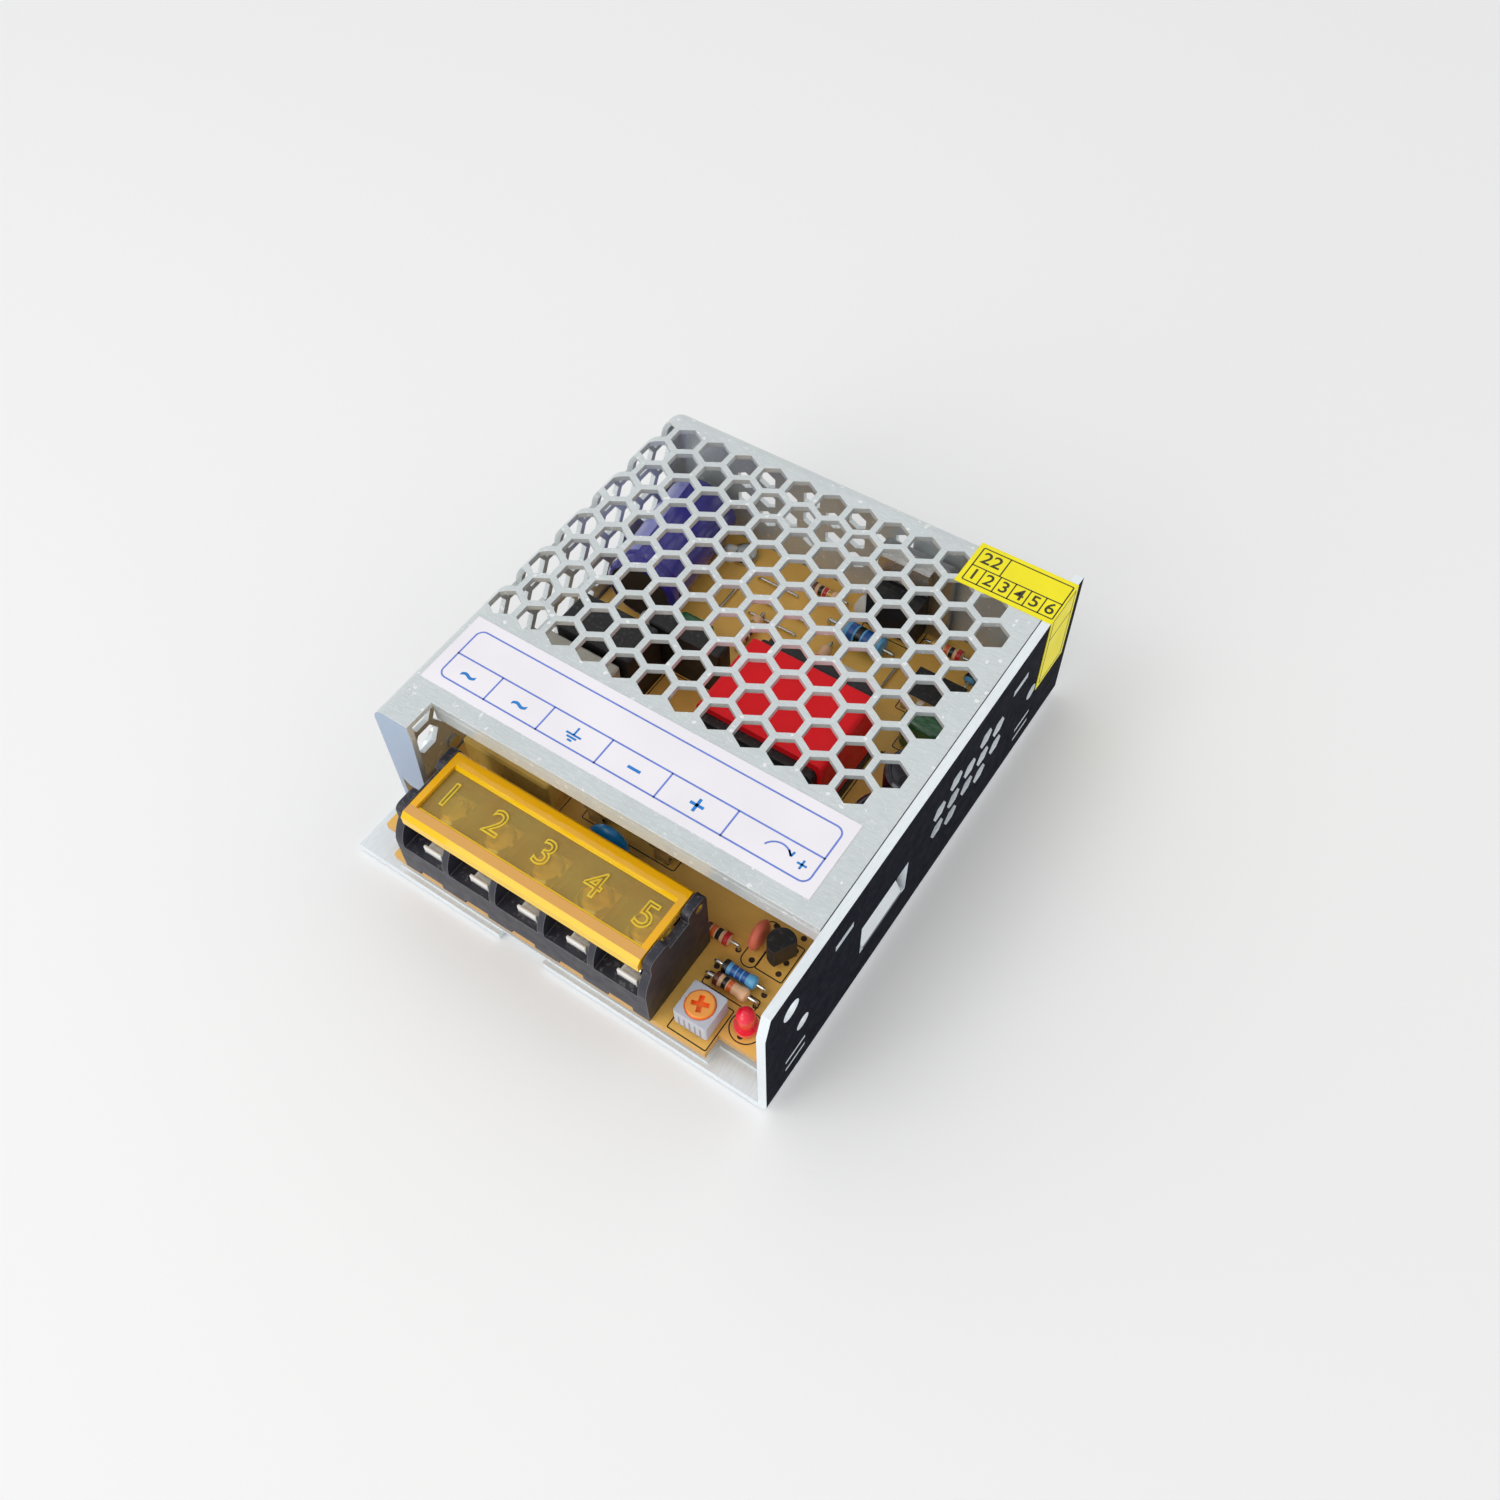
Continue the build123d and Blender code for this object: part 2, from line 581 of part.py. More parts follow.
def wall_openings():
    """Every hole that is punched through the right wall."""
    middle = HALF_W - BASE_SHEET / 2
    through = 2 * BASE_SHEET
    across = (middle - BASE_SHEET, middle + BASE_SHEET)
    earth = lying_x(
        middle, -HALF_L + EARTH_HOLE_INSET, CASE_HEIGHT - EARTH_HOLE_DROP, EARTH_HOLE_DIAMETER, through
    )
    cuts = earth
    for step in (0, SIDE_MOUNT_SPACING):
        cuts += lying_x(
            middle, -HALF_L + SIDE_MOUNT_FRONT_INSET + step, SIDE_MOUNT_HEIGHT, SIDE_MOUNT_DIAMETER, through
        )
    for y in HOOK_YS:
        half = HOOK_SLOT_LENGTH / 2
        rise = HOOK_SLOT_HEIGHT / 2
        cuts += block(across, (y - half, y + half), (HOOK_SLOT_Z - rise, HOOK_SLOT_Z + rise))
    for y in RIB_YS:
        for low in (RIB_BOTTOM - RIB_SLOT_HEIGHT, RIB_BOTTOM + RIB_HEIGHT):
            half = RIB_SLOT_LENGTH / 2
            cuts += block(across, (y - half, y + half), (low, low + RIB_SLOT_HEIGHT))
    for along, up in staggered(5, 3, VENT_COLUMN_PITCH, VENT_ROW_PITCH):
        cuts += hexagon_x(VENT_FLATS, through, middle, VENT_SIDE_CENTRE_Y + along, VENT_SIDE_CENTRE_Z + up)
    window = (WINDOW_FRONT_Y, WINDOW_FRONT_Y + WINDOW_LENGTH)
    return cuts + block(across, window, (WINDOW_BOTTOM, WINDOW_BOTTOM + WINDOW_HEIGHT))


def transistor_tongue():
    """Strip left in the wall's window and bent inwards from its lower edge."""
    length = WINDOW_HEIGHT - TONGUE_SHORTENING
    lean = radians(TONGUE_ANGLE)
    foot = WINDOW_BOTTOM
    face = front_face(
        (WALL_INNER_X, foot - BASE_SHEET / 2),
        (HALF_W, foot - BASE_SHEET / 2),
        (HALF_W, foot),
        (HALF_W - length * sin(lean), foot + length * cos(lean)),
        (WALL_INNER_X - length * sin(lean), foot + length * cos(lean)),
        (WALL_INNER_X, foot),
    )
    return along_y(
        face, WINDOW_FRONT_Y + TONGUE_SHORTENING, WINDOW_FRONT_Y + WINDOW_LENGTH - TONGUE_SHORTENING
    )


def board_rib(y):
    """Strip between two slots, pressed inwards over the board's right edge."""
    half = RIB_SLOT_LENGTH / 2
    slope = RIB_REACH / 2
    face = make_face(
        Polyline(
            (WALL_INNER_X, y - half),
            (WALL_INNER_X - RIB_REACH, y - half + slope),
            (WALL_INNER_X - RIB_REACH, y + half - slope),
            (WALL_INNER_X, y + half),
            close=True,
        )
    )
    return Pos(0, 0, RIB_BOTTOM) * extrude(face, RIB_HEIGHT, dir=(0, 0, 1))


def side_tab(y):
    """Tab lanced from the floor and bent up against the cover's left wall."""
    outer = COVER_LEFT_X - BASE_SHEET
    half = SIDE_TAB_WIDTH / 2
    upright = block((outer, COVER_LEFT_X), (y - half, y + half), (BASE_TOP, SIDE_TAB_HEIGHT))
    upright = fillet(edges_near(upright, Axis.X, lambda c: c.Z > SIDE_TAB_HEIGHT - 0.01), BASE_BEND)
    return upright - lying_x(COVER_LEFT_X, y, TAB_SCREW_Z, BOSS_BORE, 4 * BASE_SHEET)


def hexagon_punch(flats, depth):
    """Upright hexagonal punch with its corners towards the front and the rear."""
    return extrude(RegularPolygon(flats / 2, 6, major_radius=False, rotation=30), depth / 2, both=True)


def bent_top(body, left, rear, top, radius):
    """Round the top edge of a cover's left and rear sides."""
    body = fillet(edges_near(body, Axis.Y, lambda c: c.X < left + 0.01 and c.Z > top - 0.01), radius)
    return fillet(edges_near(body, Axis.X, lambda c: c.Y > rear - 0.01 and c.Z > top - 0.01), radius)


def cover_shell():
    """Outer form of the cover: top, left wall with its forward strip, and rear wall."""
    height = (BASE_TOP + COVER_FOOT_GAP, CASE_HEIGHT)
    body = block((COVER_LEFT_X, COVER_RIGHT_X), (COVER_FRONT_Y, COVER_REAR_Y), height)
    body += block((COVER_LEFT_X, COVER_LEFT_X + FLANGE_WIDTH), (FLANGE_Y, COVER_FRONT_Y), height)
    return bent_top(body, COVER_LEFT_X, COVER_REAR_Y, CASE_HEIGHT, COVER_BEND)


def cover_hollow():
    """What the bent sheet leaves open inside, with the matching inner bends."""
    left = COVER_LEFT_X + COVER_SHEET
    rear = COVER_REAR_Y - COVER_SHEET
    height = (BASE_TOP - 1, COVER_UNDER)
    body = block((left, COVER_RIGHT_X + 1), (COVER_FRONT_Y - 1, rear), height)
    body += block((left, COVER_LEFT_X + FLANGE_WIDTH + 1), (FLANGE_Y + COVER_SHEET, COVER_FRONT_Y), height)
    return bent_top(body, left, rear, COVER_UNDER, COVER_BEND - COVER_SHEET)


def front_lip():
    """Stiffening lip folded down along the cover's front edge."""
    left = COVER_LEFT_X + FLANGE_WIDTH
    depth = (COVER_FRONT_Y, COVER_FRONT_Y + 2 * COVER_SHEET)
    lip = block((left, COVER_RIGHT_X), depth, (CASE_HEIGHT - LIP_HEIGHT, CASE_HEIGHT))
    fold = edges_near(lip, Axis.X, lambda c: c.Y < COVER_FRONT_Y + 0.01 and c.Z > CASE_HEIGHT - 0.01)
    lip = fillet(fold, LIP_BEND)
    return lip - block(
        (left - 1, COVER_RIGHT_X + 1),
        (COVER_FRONT_Y + COVER_SHEET, COVER_FRONT_Y + 3 * COVER_SHEET),
        (0, COVER_UNDER),
    )


def flange_trim():
    """What is trimmed from the left front flange: its taper, foot and outer corner."""
    left = COVER_LEFT_X
    right = left + FLANGE_WIDTH
    low = BASE_TOP - 1
    face = front_face(
        (right + 0.5, COVER_UNDER - COVER_BEND),
        (right, COVER_UNDER - COVER_BEND),
        (right - FLANGE_TAPER, FLANGE_BOTTOM),
        (left + COVER_SHEET + FLANGE_CHAMFER, FLANGE_BOTTOM),
        (left + COVER_SHEET, FLANGE_BOTTOM + FLANGE_CHAMFER),
        (left + COVER_SHEET, low),
        (right + 0.5, low),
    )
    return along_y(face, FLANGE_Y - 0.5, FLANGE_Y + COVER_SHEET)


def top_punches():
    """Hexagons through the flat top, row after row."""
    punch = hexagon_punch(HEX_FLATS, 3 * COVER_SHEET)
    places = []
    for row in range(HEX_ROWS):
        shift = HEX_PITCH / 2 if row % 2 else 0
        for column in range(HEX_COLUMNS):
            places.append((HEX_FIRST_X + shift + column * HEX_PITCH, HEX_FIRST_Y + row * HEX_ROW))
    return [Pos(x, y, CASE_HEIGHT - COVER_SHEET / 2) * punch for x, y in places]


def unrolled(reach):
    """Place (x, z, tilt) on the bent left side, a distance past the end of the flat top."""
    middle = COVER_BEND - COVER_SHEET / 2
    arc = middle * pi / 2
    if reach < arc:
        turn = reach / middle
        x = COVER_LEFT_X + COVER_BEND - middle * sin(turn)
        return x, CASE_HEIGHT - COVER_BEND + middle * cos(turn), turn
    return COVER_LEFT_X + COVER_SHEET / 2, CASE_HEIGHT - COVER_BEND - (reach - arc), pi / 2


def side_punches():
    """The same hexagons carried over the left bend and down the left wall."""
    punch = hexagon_punch(HEX_FLATS, 3 * COVER_SHEET)
    flat_end = COVER_LEFT_X + COVER_BEND
    cuts = []
    for row in range(-WALL_HEX_EXTRA_ROWS, HEX_ROWS):
        start = HEX_FIRST_X + (HEX_PITCH / 2 if row % 2 else 0) - HEX_PITCH
        y = HEX_FIRST_Y + row * HEX_ROW
        for step in range(WALL_HEX_DEPTH + 1):
            x, z, turn = unrolled(flat_end - start + step * HEX_PITCH)
            in_bend = turn < pi / 2
            tab_gap = min(abs(y - tab) for tab in TAB_YS)
            by_tab = z < TAB_SCREW_Z + SIDE_TAB_CLEAR and tab_gap < SIDE_TAB_CLEAR
            if z < BASE_TOP + HEX_FLATS or by_tab or (in_bend and row < 0):
                continue
            cuts.append(Pos(x, y, z) * Rot(0, -turn * 180 / pi, 0) * punch)
    return cuts


def rear_punches():
    """Staggered hexagonal vents in the rear wall."""
    punch = Rot(90, 0, 0) * hexagon_punch(VENT_FLATS, 3 * COVER_SHEET)
    y = COVER_REAR_Y - COVER_SHEET / 2
    places = staggered(9, 3, VENT_COLUMN_PITCH, VENT_ROW_PITCH)
    return [Pos(VENT_REAR_CENTRE_X + along, y, VENT_REAR_CENTRE_Z + up) * punch for along, up in places]


def hook(y):
    """Tongue folded down from the cover's right edge and set into the wall's slot."""
    inner = COVER_RIGHT_X - COVER_SHEET
    half = HOOK_WIDTH / 2
    low = HOOK_SLOT_Z - COVER_SHEET / 2
    leg = block((inner, COVER_RIGHT_X), (y - half, y + half), (low, CASE_HEIGHT - COVER_SHEET / 2))
    across = (inner, COVER_RIGHT_X + COVER_SEAM + HOOK_REACH)
    nose = block(across, (y - half, y + half), (low, low + COVER_SHEET))
    return leg + nose


def mesh_cover():
    """Perforated cover: top, left wall, rear wall, front lip, left front flange and two hooks."""
    body = cover_shell() - cover_hollow()
    body = body - flange_trim() + front_lip()
    for y in HOOK_YS:
        body += hook(y)
    for y in TAB_YS:
        body -= lying_x(COVER_LEFT_X, y, TAB_SCREW_Z, BOSS_BORE, 4 * COVER_SHEET)
    return body - (top_punches() + side_punches() + rear_punches())


def cover_screws():
    """Two pan-head screws through the tabs into the cover's left wall."""
    seat = COVER_LEFT_X - BASE_SHEET
    screws = []
    for y in TAB_YS:
        head = lying_x(seat - COVER_SCREW_HEIGHT / 2, y, TAB_SCREW_Z, COVER_SCREW_HEAD, COVER_SCREW_HEIGHT)
        shank_centre = seat + COVER_SCREW_LENGTH / 2
        shank = lying_x(shank_centre, y, TAB_SCREW_Z, BOSS_BORE - 2 * SCREW_CLEARANCE, COVER_SCREW_LENGTH)
        screws.append(head + shank)
    return screws


def label():
    """Paper label on the front of the cover."""
    front = COVER_FRONT_Y + LABEL_FRONT_MARGIN
    return block(
        (COVER_LEFT_X + LABEL_LEFT_MARGIN, COVER_RIGHT_X - LABEL_RIGHT_MARGIN),
        (front, front + LABEL_DEPTH),
        (CASE_HEIGHT, CASE_HEIGHT + PAPER),
    )


def seal_sticker():
    """Paper seal that laps from the cover's top over the right wall."""
    face = front_face(
        (HALF_W - SEAL_LENGTH, CASE_HEIGHT),
        (HALF_W, CASE_HEIGHT),
        (HALF_W, CASE_HEIGHT - SEAL_DROP),
        (HALF_W + PAPER, CASE_HEIGHT - SEAL_DROP),
        (HALF_W + PAPER, CASE_HEIGHT + PAPER),
        (HALF_W - SEAL_LENGTH, CASE_HEIGHT + PAPER),
    )
    return along_y(face, SEAL_FRONT_Y, SEAL_FRONT_Y + SEAL_WIDTH)


def board_outline(grow=0.0):
    """Outline of the board: square with both front corners notched."""
    left, right = BOARD_LEFT_X - grow, BOARD_RIGHT_X + grow
    front, rear = BOARD_FRONT_Y - grow, BOARD_REAR_Y + grow
    notch = BOARD_FRONT_Y + BOARD_NOTCH_DEPTH
    return make_face(
        Polyline(
            (BOARD_NOTCH_LEFT_X, front),
            (BOARD_NOTCH_RIGHT_X, front),
            (BOARD_NOTCH_RIGHT_X, notch),
            (right, notch),
            (right, rear),
            (left, rear),
            (left, notch),
            (BOARD_NOTCH_LEFT_X, notch),
            close=True,
        )
    )


def circuit_board():
    """Single-sided board on four bosses."""
    body = Pos(0, 0, BOARD_BOTTOM) * extrude(board_outline(), BOARD)
    for x, y in BOSS_POINTS:
        body -= standing(x, y, BOARD_BOTTOM, BOARD_SCREW_HOLE, BOARD)
    return body


def insulating_sheet():
    """Plastic film that lies on the floor under the board."""
    body = Pos(0, 0, BASE_TOP) * extrude(board_outline(-BOARD_SIDE_GAP), INSULATOR)
    for x, y in BOSS_POINTS:
        body -= standing(x, y, BASE_TOP, BOSS_DIAMETER + 2 * BOARD_SIDE_GAP, INSULATOR)
    return body


def board_screws():
    """Four pan-head screws that hold the board to its bosses."""
    screws = []
    for x, y in BOSS_POINTS:
        head = Pos(x, y, BOARD_TOP) * pan_head(BOARD_SCREW_HEAD, BOARD_SCREW_HEIGHT)
        shank = standing(x, y, BASE_TOP, BOSS_BORE - 2 * SCREW_CLEARANCE, BOARD_TOP - BASE_TOP)
        screws.append(head + shank)
    return screws


def barrier_profile(rear_top):
    """Side view of a barrier: front edge curving back to a shoulder, then a flat top."""
    front, rear = BLOCK_FRONT_Y, BLOCK_BACK_Y
    shoulder = front + EAR_FRONT_SETBACK
    crest = BARRIER_Z - SHOULDER_STEP
    start = SHELF_Z + SHOULDER_STEP
    middle = (front + BARRIER_BULGE, start + (crest - start) * 0.6)
    curve = ThreePointArc((front, start), middle, (shoulder, crest))
    notch = HINGE_Y - HINGE_CLEAR_RADIUS
    rest = Polyline(
        (shoulder, crest),
        (shoulder + SHOULDER_STEP, BARRIER_Z),
        (notch - BARRIER_Z + rear_top, BARRIER_Z),
        (notch, rear_top),
        (rear, rear_top),
        (rear, SHELF_Z),
        (front, SHELF_Z),
        (front, start),
    )
    return make_face(Plane.YZ * (curve + rest))


def ear(front, left, width):
    """Rounded ear that stands on an end wall."""
    low = BARRIER_Z - SHOULDER_STEP
    face = side_face((front, low), (front + EAR_LENGTH, low), (front + EAR_LENGTH, EAR_Z), (front, EAR_Z))
    body = along_x(face, left, left + width)
    return fillet(edges_near(body, Axis.X, lambda c: c.Z > EAR_Z - 0.01), EAR_ROUND)


def terminal_body():
    """Moulded five-way barrier block: plinth, shelf, back wall, barriers and eared end walls."""
    front, rear = BLOCK_FRONT_Y, BLOCK_BACK_Y
    across = (BLOCK_LEFT_X, BLOCK_RIGHT_X)
    hinge_floor = HINGE_Z - HINGE_CLEAR_RADIUS
    body = block(across, (front, rear), (BOARD_TOP, SHELF_Z))
    body += block(across, (rear - BLOCK_BACK_WALL, rear), (SHELF_Z, hinge_floor))
    for index in range(1, WAYS):
        left = BLOCK_LEFT_X + (END_WALL - DIVIDER) / 2 + index * WAY_PITCH
        body += along_x(barrier_profile(hinge_floor), left, left + DIVIDER)
    for left in (BLOCK_LEFT_X, BLOCK_RIGHT_X - END_WALL):
        body += along_x(barrier_profile(BARRIER_Z - 0.01), left, left + END_WALL)
        for start in (front + EAR_FRONT_SETBACK, rear - EAR_LENGTH):
            body += ear(start, left, END_WALL)
    middle = (BLOCK_LEFT_X + BLOCK_RIGHT_X) / 2
    body -= lying_x(middle, HINGE_Y, HINGE_Z, PIN_DIAMETER + 2 * PIN_CLEARANCE, BLOCK_WIDTH + 2)
    for x in WAY_XS:
        body -= standing(x, SCREW_Y, SHELF_Z - SCREW_WELL, SCREW_DIAMETER + 1.0, SCREW_WELL)
        half = WAY_PITCH / 4
        height = (BOARD_TOP, BOARD_TOP + FOOT_NOTCH_HEIGHT)
        body -= block((x - half, x + half), (front - 1, front + FOOT_NOTCH), height)
    return body


def terminal_contacts():
    """Five tinned plates on the shelf, each tapped for its screw."""
    plates = []
    for x in WAY_XS:
        half = CONTACT_WIDTH / 2
        plate = block(
            (x - half, x + half),
            (SCREW_Y - CONTACT_LENGTH / 2, SCREW_Y + CONTACT_LENGTH / 2),
            (SHELF_Z, CONTACT_TOP),
        )
        bore = SCREW_DIAMETER + 2 * SCREW_CLEARANCE
        plates.append(plate - standing(x, SCREW_Y, SHELF_Z, bore, CONTACT_PLATE))
    return plates


def clamp_plate(x):
    """Square wire clamp under the screw head, with a narrow tab turned down in front."""
    half = CLAMP_SIDE / 2
    levels = (CLAMP_BOTTOM, CLAMP_TOP)
    plate = block((x - half, x + half), (SCREW_Y - half, SCREW_Y + half), levels)
    plate = fillet(plate.edges().filter_by(Axis.Z), 0.5)
    front = SCREW_Y - half - CLAMP_TAB_REACH
    left = x + CLAMP_TAB_START
    across = (left, left + CLAMP_TAB_WIDTH)
    tab = block(across, (front, SCREW_Y), levels)
    tab += block(across, (front, front + CLAMP_PLATE), (CLAMP_BOTTOM - CLAMP_TAB_DROP, CLAMP_TOP))
    fold = edges_near(tab, Axis.X, lambda c: c.Y < front + 0.01 and c.Z > CLAMP_TOP - 0.01)
    tab = fillet(fold, CLAMP_PLATE / 2)
    return plate + tab - standing(x, SCREW_Y, CLAMP_BOTTOM - 1, SCREW_DIAMETER + 4 * SCREW_CLEARANCE, 3)


def terminal_screw(x):
    """Pan-head machine screw with a combined slot and cross recess."""
    head = Pos(x, SCREW_Y, HEAD_BOTTOM) * pan_head(SCREW_HEAD_DIAMETER, SCREW_HEAD_HEIGHT)
    top = HEAD_BOTTOM + SCREW_HEAD_HEIGHT
    low = SHELF_Z - SCREW_TAIL
    shank = standing(x, SCREW_Y, low, SCREW_DIAMETER, HEAD_BOTTOM - low)
    point = shank.edges().filter_by(GeomType.CIRCLE).filter_by(lambda e: e.center().Z < low + 0.01)
    shank = chamfer(point, SCREW_POINT)
    half = SCREW_SLOT / 2
    reach = SCREW_HEAD_DIAMETER
    cross = SCREW_CROSS / 2
    deep = (top - SCREW_RECESS, top + 1)
    long_slot = block((x - reach, x + reach), (SCREW_Y - half, SCREW_Y + half), deep)
    cross = block((x - half, x + half), (SCREW_Y - cross, SCREW_Y + cross), deep)
    return head + shank - (long_slot + cross)


def lid_section():
    """Side view of the clear cover: rails front and rear, thin panel, lip hanging in front."""
    front = BLOCK_FRONT_Y + EAR_FRONT_SETBACK - LID_FRONT_OVERHANG
    rear = BLOCK_BACK_Y - LID_REAR_OVERHANG
    under = LID_UNDER
    panel = under + LID_THICKNESS
    rail = panel + LID_RAIL_RISE
    slope = LID_RAIL_RISE / 2
    return side_face(
        (front, under - LID_LIP_DROP),
        (front + LID_THICKNESS, under - LID_LIP_DROP),
        (front + LID_THICKNESS + slope, under),
        (rear, under),
        (rear, rail - slope),
        (rear - slope, rail),
        (rear - LID_RAIL, rail),
        (rear - LID_RAIL - slope, panel),
        (front + LID_RAIL + slope, panel),
        (front + LID_RAIL, rail),
        (front + LID_RAIL_RISE, rail),
        (front, rail - LID_RAIL_RISE),
    )


def terminal_cover():
    """Clear amber cover that snaps between the end walls and swings on two pins."""
    left = BLOCK_LEFT_X + END_WALL + LID_END_GAP
    right = BLOCK_RIGHT_X - END_WALL - LID_END_GAP
    body = along_x(lid_section(), left, right)
    rear = BLOCK_BACK_Y - LID_REAR_OVERHANG
    front = BLOCK_FRONT_Y + EAR_FRONT_SETBACK + LID_RAIL - LID_FRONT_OVERHANG
    rise = (LID_UNDER, LID_UNDER + LID_THICKNESS + LID_RAIL_RISE)
    for low in (left, right - LID_THICKNESS):
        body += block((low, low + LID_THICKNESS), (front, rear - LID_RAIL), rise)
    reach = END_WALL + LID_END_GAP - LID_END_GAP / 2
    for start in (left - reach, right):
        body += lying_x(start + reach / 2, HINGE_Y, HINGE_Z, PIN_DIAMETER, reach)
    return body


def trimmer_body():
    """Square trimmer housing with a round well for its rotor and two short legs."""
    half = TRIMMER_SIDE / 2
    low = BOARD_TOP + TRIMMER_STANDOFF
    across = (TRIMMER_X - half, TRIMMER_X + half)
    body = block(across, (TRIMMER_Y - half, TRIMMER_Y + half), (low, TRIMMER_TOP))
    body = fillet(body.edges().filter_by(Axis.Z), 0.4)
    well = TRIMMER_TOP - ROTOR_SINK - ROTOR_CLEARANCE
    body -= standing(TRIMMER_X, TRIMMER_Y, well, ROTOR_DIAMETER + 2 * ROTOR_CLEARANCE, TRIMMER_HEIGHT)
    leg = TRIMMER_LEG / 2
    inset = half - 2 * leg
    for x, y in ((-inset, -inset), (inset, -inset), (0, inset)):
        x, y = TRIMMER_X + x, TRIMMER_Y + y
        body += block((x - leg, x + leg), (y - leg, y + leg), (BOARD_TOP, low))
    return body


def trimmer_rotor():
    """Round rotor with a cross slot."""
    low = TRIMMER_TOP - ROTOR_SINK
    top = low + ROTOR_HEIGHT
    body = standing(TRIMMER_X, TRIMMER_Y, low, ROTOR_DIAMETER, top - low)
    rim = body.edges().filter_by(GeomType.CIRCLE).filter_by(lambda e: e.center().Z > top - 0.01)
    body = chamfer(rim, ROTOR_BEVEL)
    half = CROSS_SLOT / 2
    reach = CROSS_LENGTH / 2
    deep = (0, CROSS_DEPTH + 1)
    slot = block((-reach, reach), (-half, half), deep) + block((-half, half), (-reach, reach), deep)
    return body - Pos(TRIMMER_X, TRIMMER_Y, top - CROSS_DEPTH) * Rot(0, 0, CROSS_TURN) * slot


def indicator_led():
    """Round-nosed 3 mm lamp with its flange and two legs."""
    low = BOARD_TOP + LED_LIFT
    radius = LED_DIAMETER / 2
    flange = LED_FLANGE / 2
    collar = low + LED_FLANGE_HEIGHT
    straight = low + LED_HEIGHT - radius
    outline = Polyline((0, low), (flange, low), (flange, collar), (radius, collar), (radius, straight))
    shoulder = (radius * cos(pi / 4), straight + radius * sin(pi / 4))
    dome = ThreePointArc((radius, straight), shoulder, (0, straight + radius))
    axis = Line((0, straight + radius), (0, low))
    lamp = revolve(make_face(Plane.XZ * (outline + dome + axis)), Axis.Z)
    half = LEG_SIDE / 2
    for side in (-1, 1):
        y = side * LEG_PITCH / 2
        lamp += block((-half, half), (y - half, y + half), (BOARD_TOP, low))
    return Pos(LED_X, LED_Y, 0) * lamp


def axial(centre, turn, diameter, length, pitch, lead):
    """Axial part lying just above the board: dog-bone body and two bent leads."""
    radius = diameter / 2
    half = length / 2
    waist = radius * AXIAL_WAIST
    rise = radius + LEAD_STUB
    knob = length * AXIAL_KNOB
    end = radius * AXIAL_END
    outline = [(end, -half), (radius, -half + end / 2), (radius, -half + knob * 0.8), (waist, -half + knob)]
    outline += [(r, -z) for r, z in reversed(outline)]
    body = Rot(0, 90, 0) * turned((0, -half), *outline, (0, half))
    reach = pitch / 2
    path = Polyline((-reach, 0, -rise), (-reach, 0, 0), (reach, 0, 0), (reach, 0, -rise))
    wire = sweep(Pos(-reach, 0, -rise) * Circle(lead / 2), path, transition=Transition.RIGHT)
    return Pos(centre[0], centre[1], BOARD_TOP + rise) * Rot(0, 0, turn) * (body + wire)


def resistors(places):
    """Small resistors of one colour."""
    return [
        axial(centre, turn, RESISTOR_DIAMETER, RESISTOR_LENGTH, RESISTOR_PITCH, RESISTOR_LEAD)
        for centre, turn in places
    ]


def power_resistor():
    """Large resistor behind the transformer."""
    size = (POWER_RESISTOR_DIAMETER, POWER_RESISTOR_LENGTH, POWER_RESISTOR_PITCH)
    return axial(POWER_RESISTOR_AT, POWER_RESISTOR_TURN, *size, RESISTOR_LEAD)


def disc(diameter, thickness, centre, turn, leg_pitch):
    """Dipped disc standing on two legs, with sloping rims."""
    radius = diameter / 2
    half = thickness / 2
    rim = thickness * 0.3
    body = turned(
        (0, -half),
        (radius - 1.6 * rim, -half),
        (radius, -half + rim),
        (radius, half - rim),
        (radius - 1.6 * rim, half),
        (0, half),
    )
    body = Pos(0, 0, radius + LEAD_STUB) * Rot(90, 0, 0) * body
    leg = RESISTOR_LEAD / 2
    for side in (-1, 1):
        x = side * leg_pitch / 2
        body += block((x - leg, x + leg), (-leg, leg), (0, radius * 0.5))
    return Pos(centre[0], centre[1], BOARD_TOP) * Rot(0, 0, turn) * body


def boxed(size, centre, radius=0.6, lift=0.0):
    """Moulded box part with rounded corners and a bevelled top, resting on the board."""
    body = Box(*size, align=(Align.CENTER, Align.CENTER, Align.MIN))
    body = fillet(body.edges().filter_by(Axis.Z), radius)
    body = chamfer(body.faces().sort_by(Axis.Z)[-1].edges(), radius * 0.6)
    return Pos(centre[0], centre[1], BOARD_TOP + lift) * body


def capacitor_can(diameter, length):
    """Sleeved can standing on its seal, with a rolled groove and a bevelled rim."""
    radius = diameter / 2
    groove = length * 0.05
    bottom = groove * 1.6
    rim = radius * 0.1
    return turned(
        (0, 0),
        (radius - rim, 0),
        (radius, rim),
        (radius, bottom),
        (radius - rim, bottom + groove / 2),
        (radius, bottom + groove),
        (radius, length - rim),
        (radius - rim, length),
        (0, length),
    )


def bulk_capacitor():
    """Can-type electrolytic lying on the board, its grooved end to the front."""
    can = Pos(0, -BULK_LENGTH / 2, 0) * Rot(-90, 0, 0) * capacitor_can(BULK_DIAMETER, BULK_LENGTH)
    return Pos(BULK_AT[0], BULK_AT[1], BOARD_TOP + BULK_DIAMETER / 2) * Rot(0, 0, BULK_TURN) * can


def transformer_winding():
    """Taped winding of the transformer, upright sided with rounded corners."""
    x, y = WINDING_CENTRE
    height = WINDING_TOP - CORE_BOTTOM
    body = Box(WINDING_WIDTH, WINDING_DEPTH, height, align=(Align.CENTER, Align.CENTER, Align.MIN))
    body = fillet(body.edges().filter_by(Axis.Y), WINDING_ROUND)
    return Pos(x, y, BOARD_TOP + CORE_BOTTOM) * body


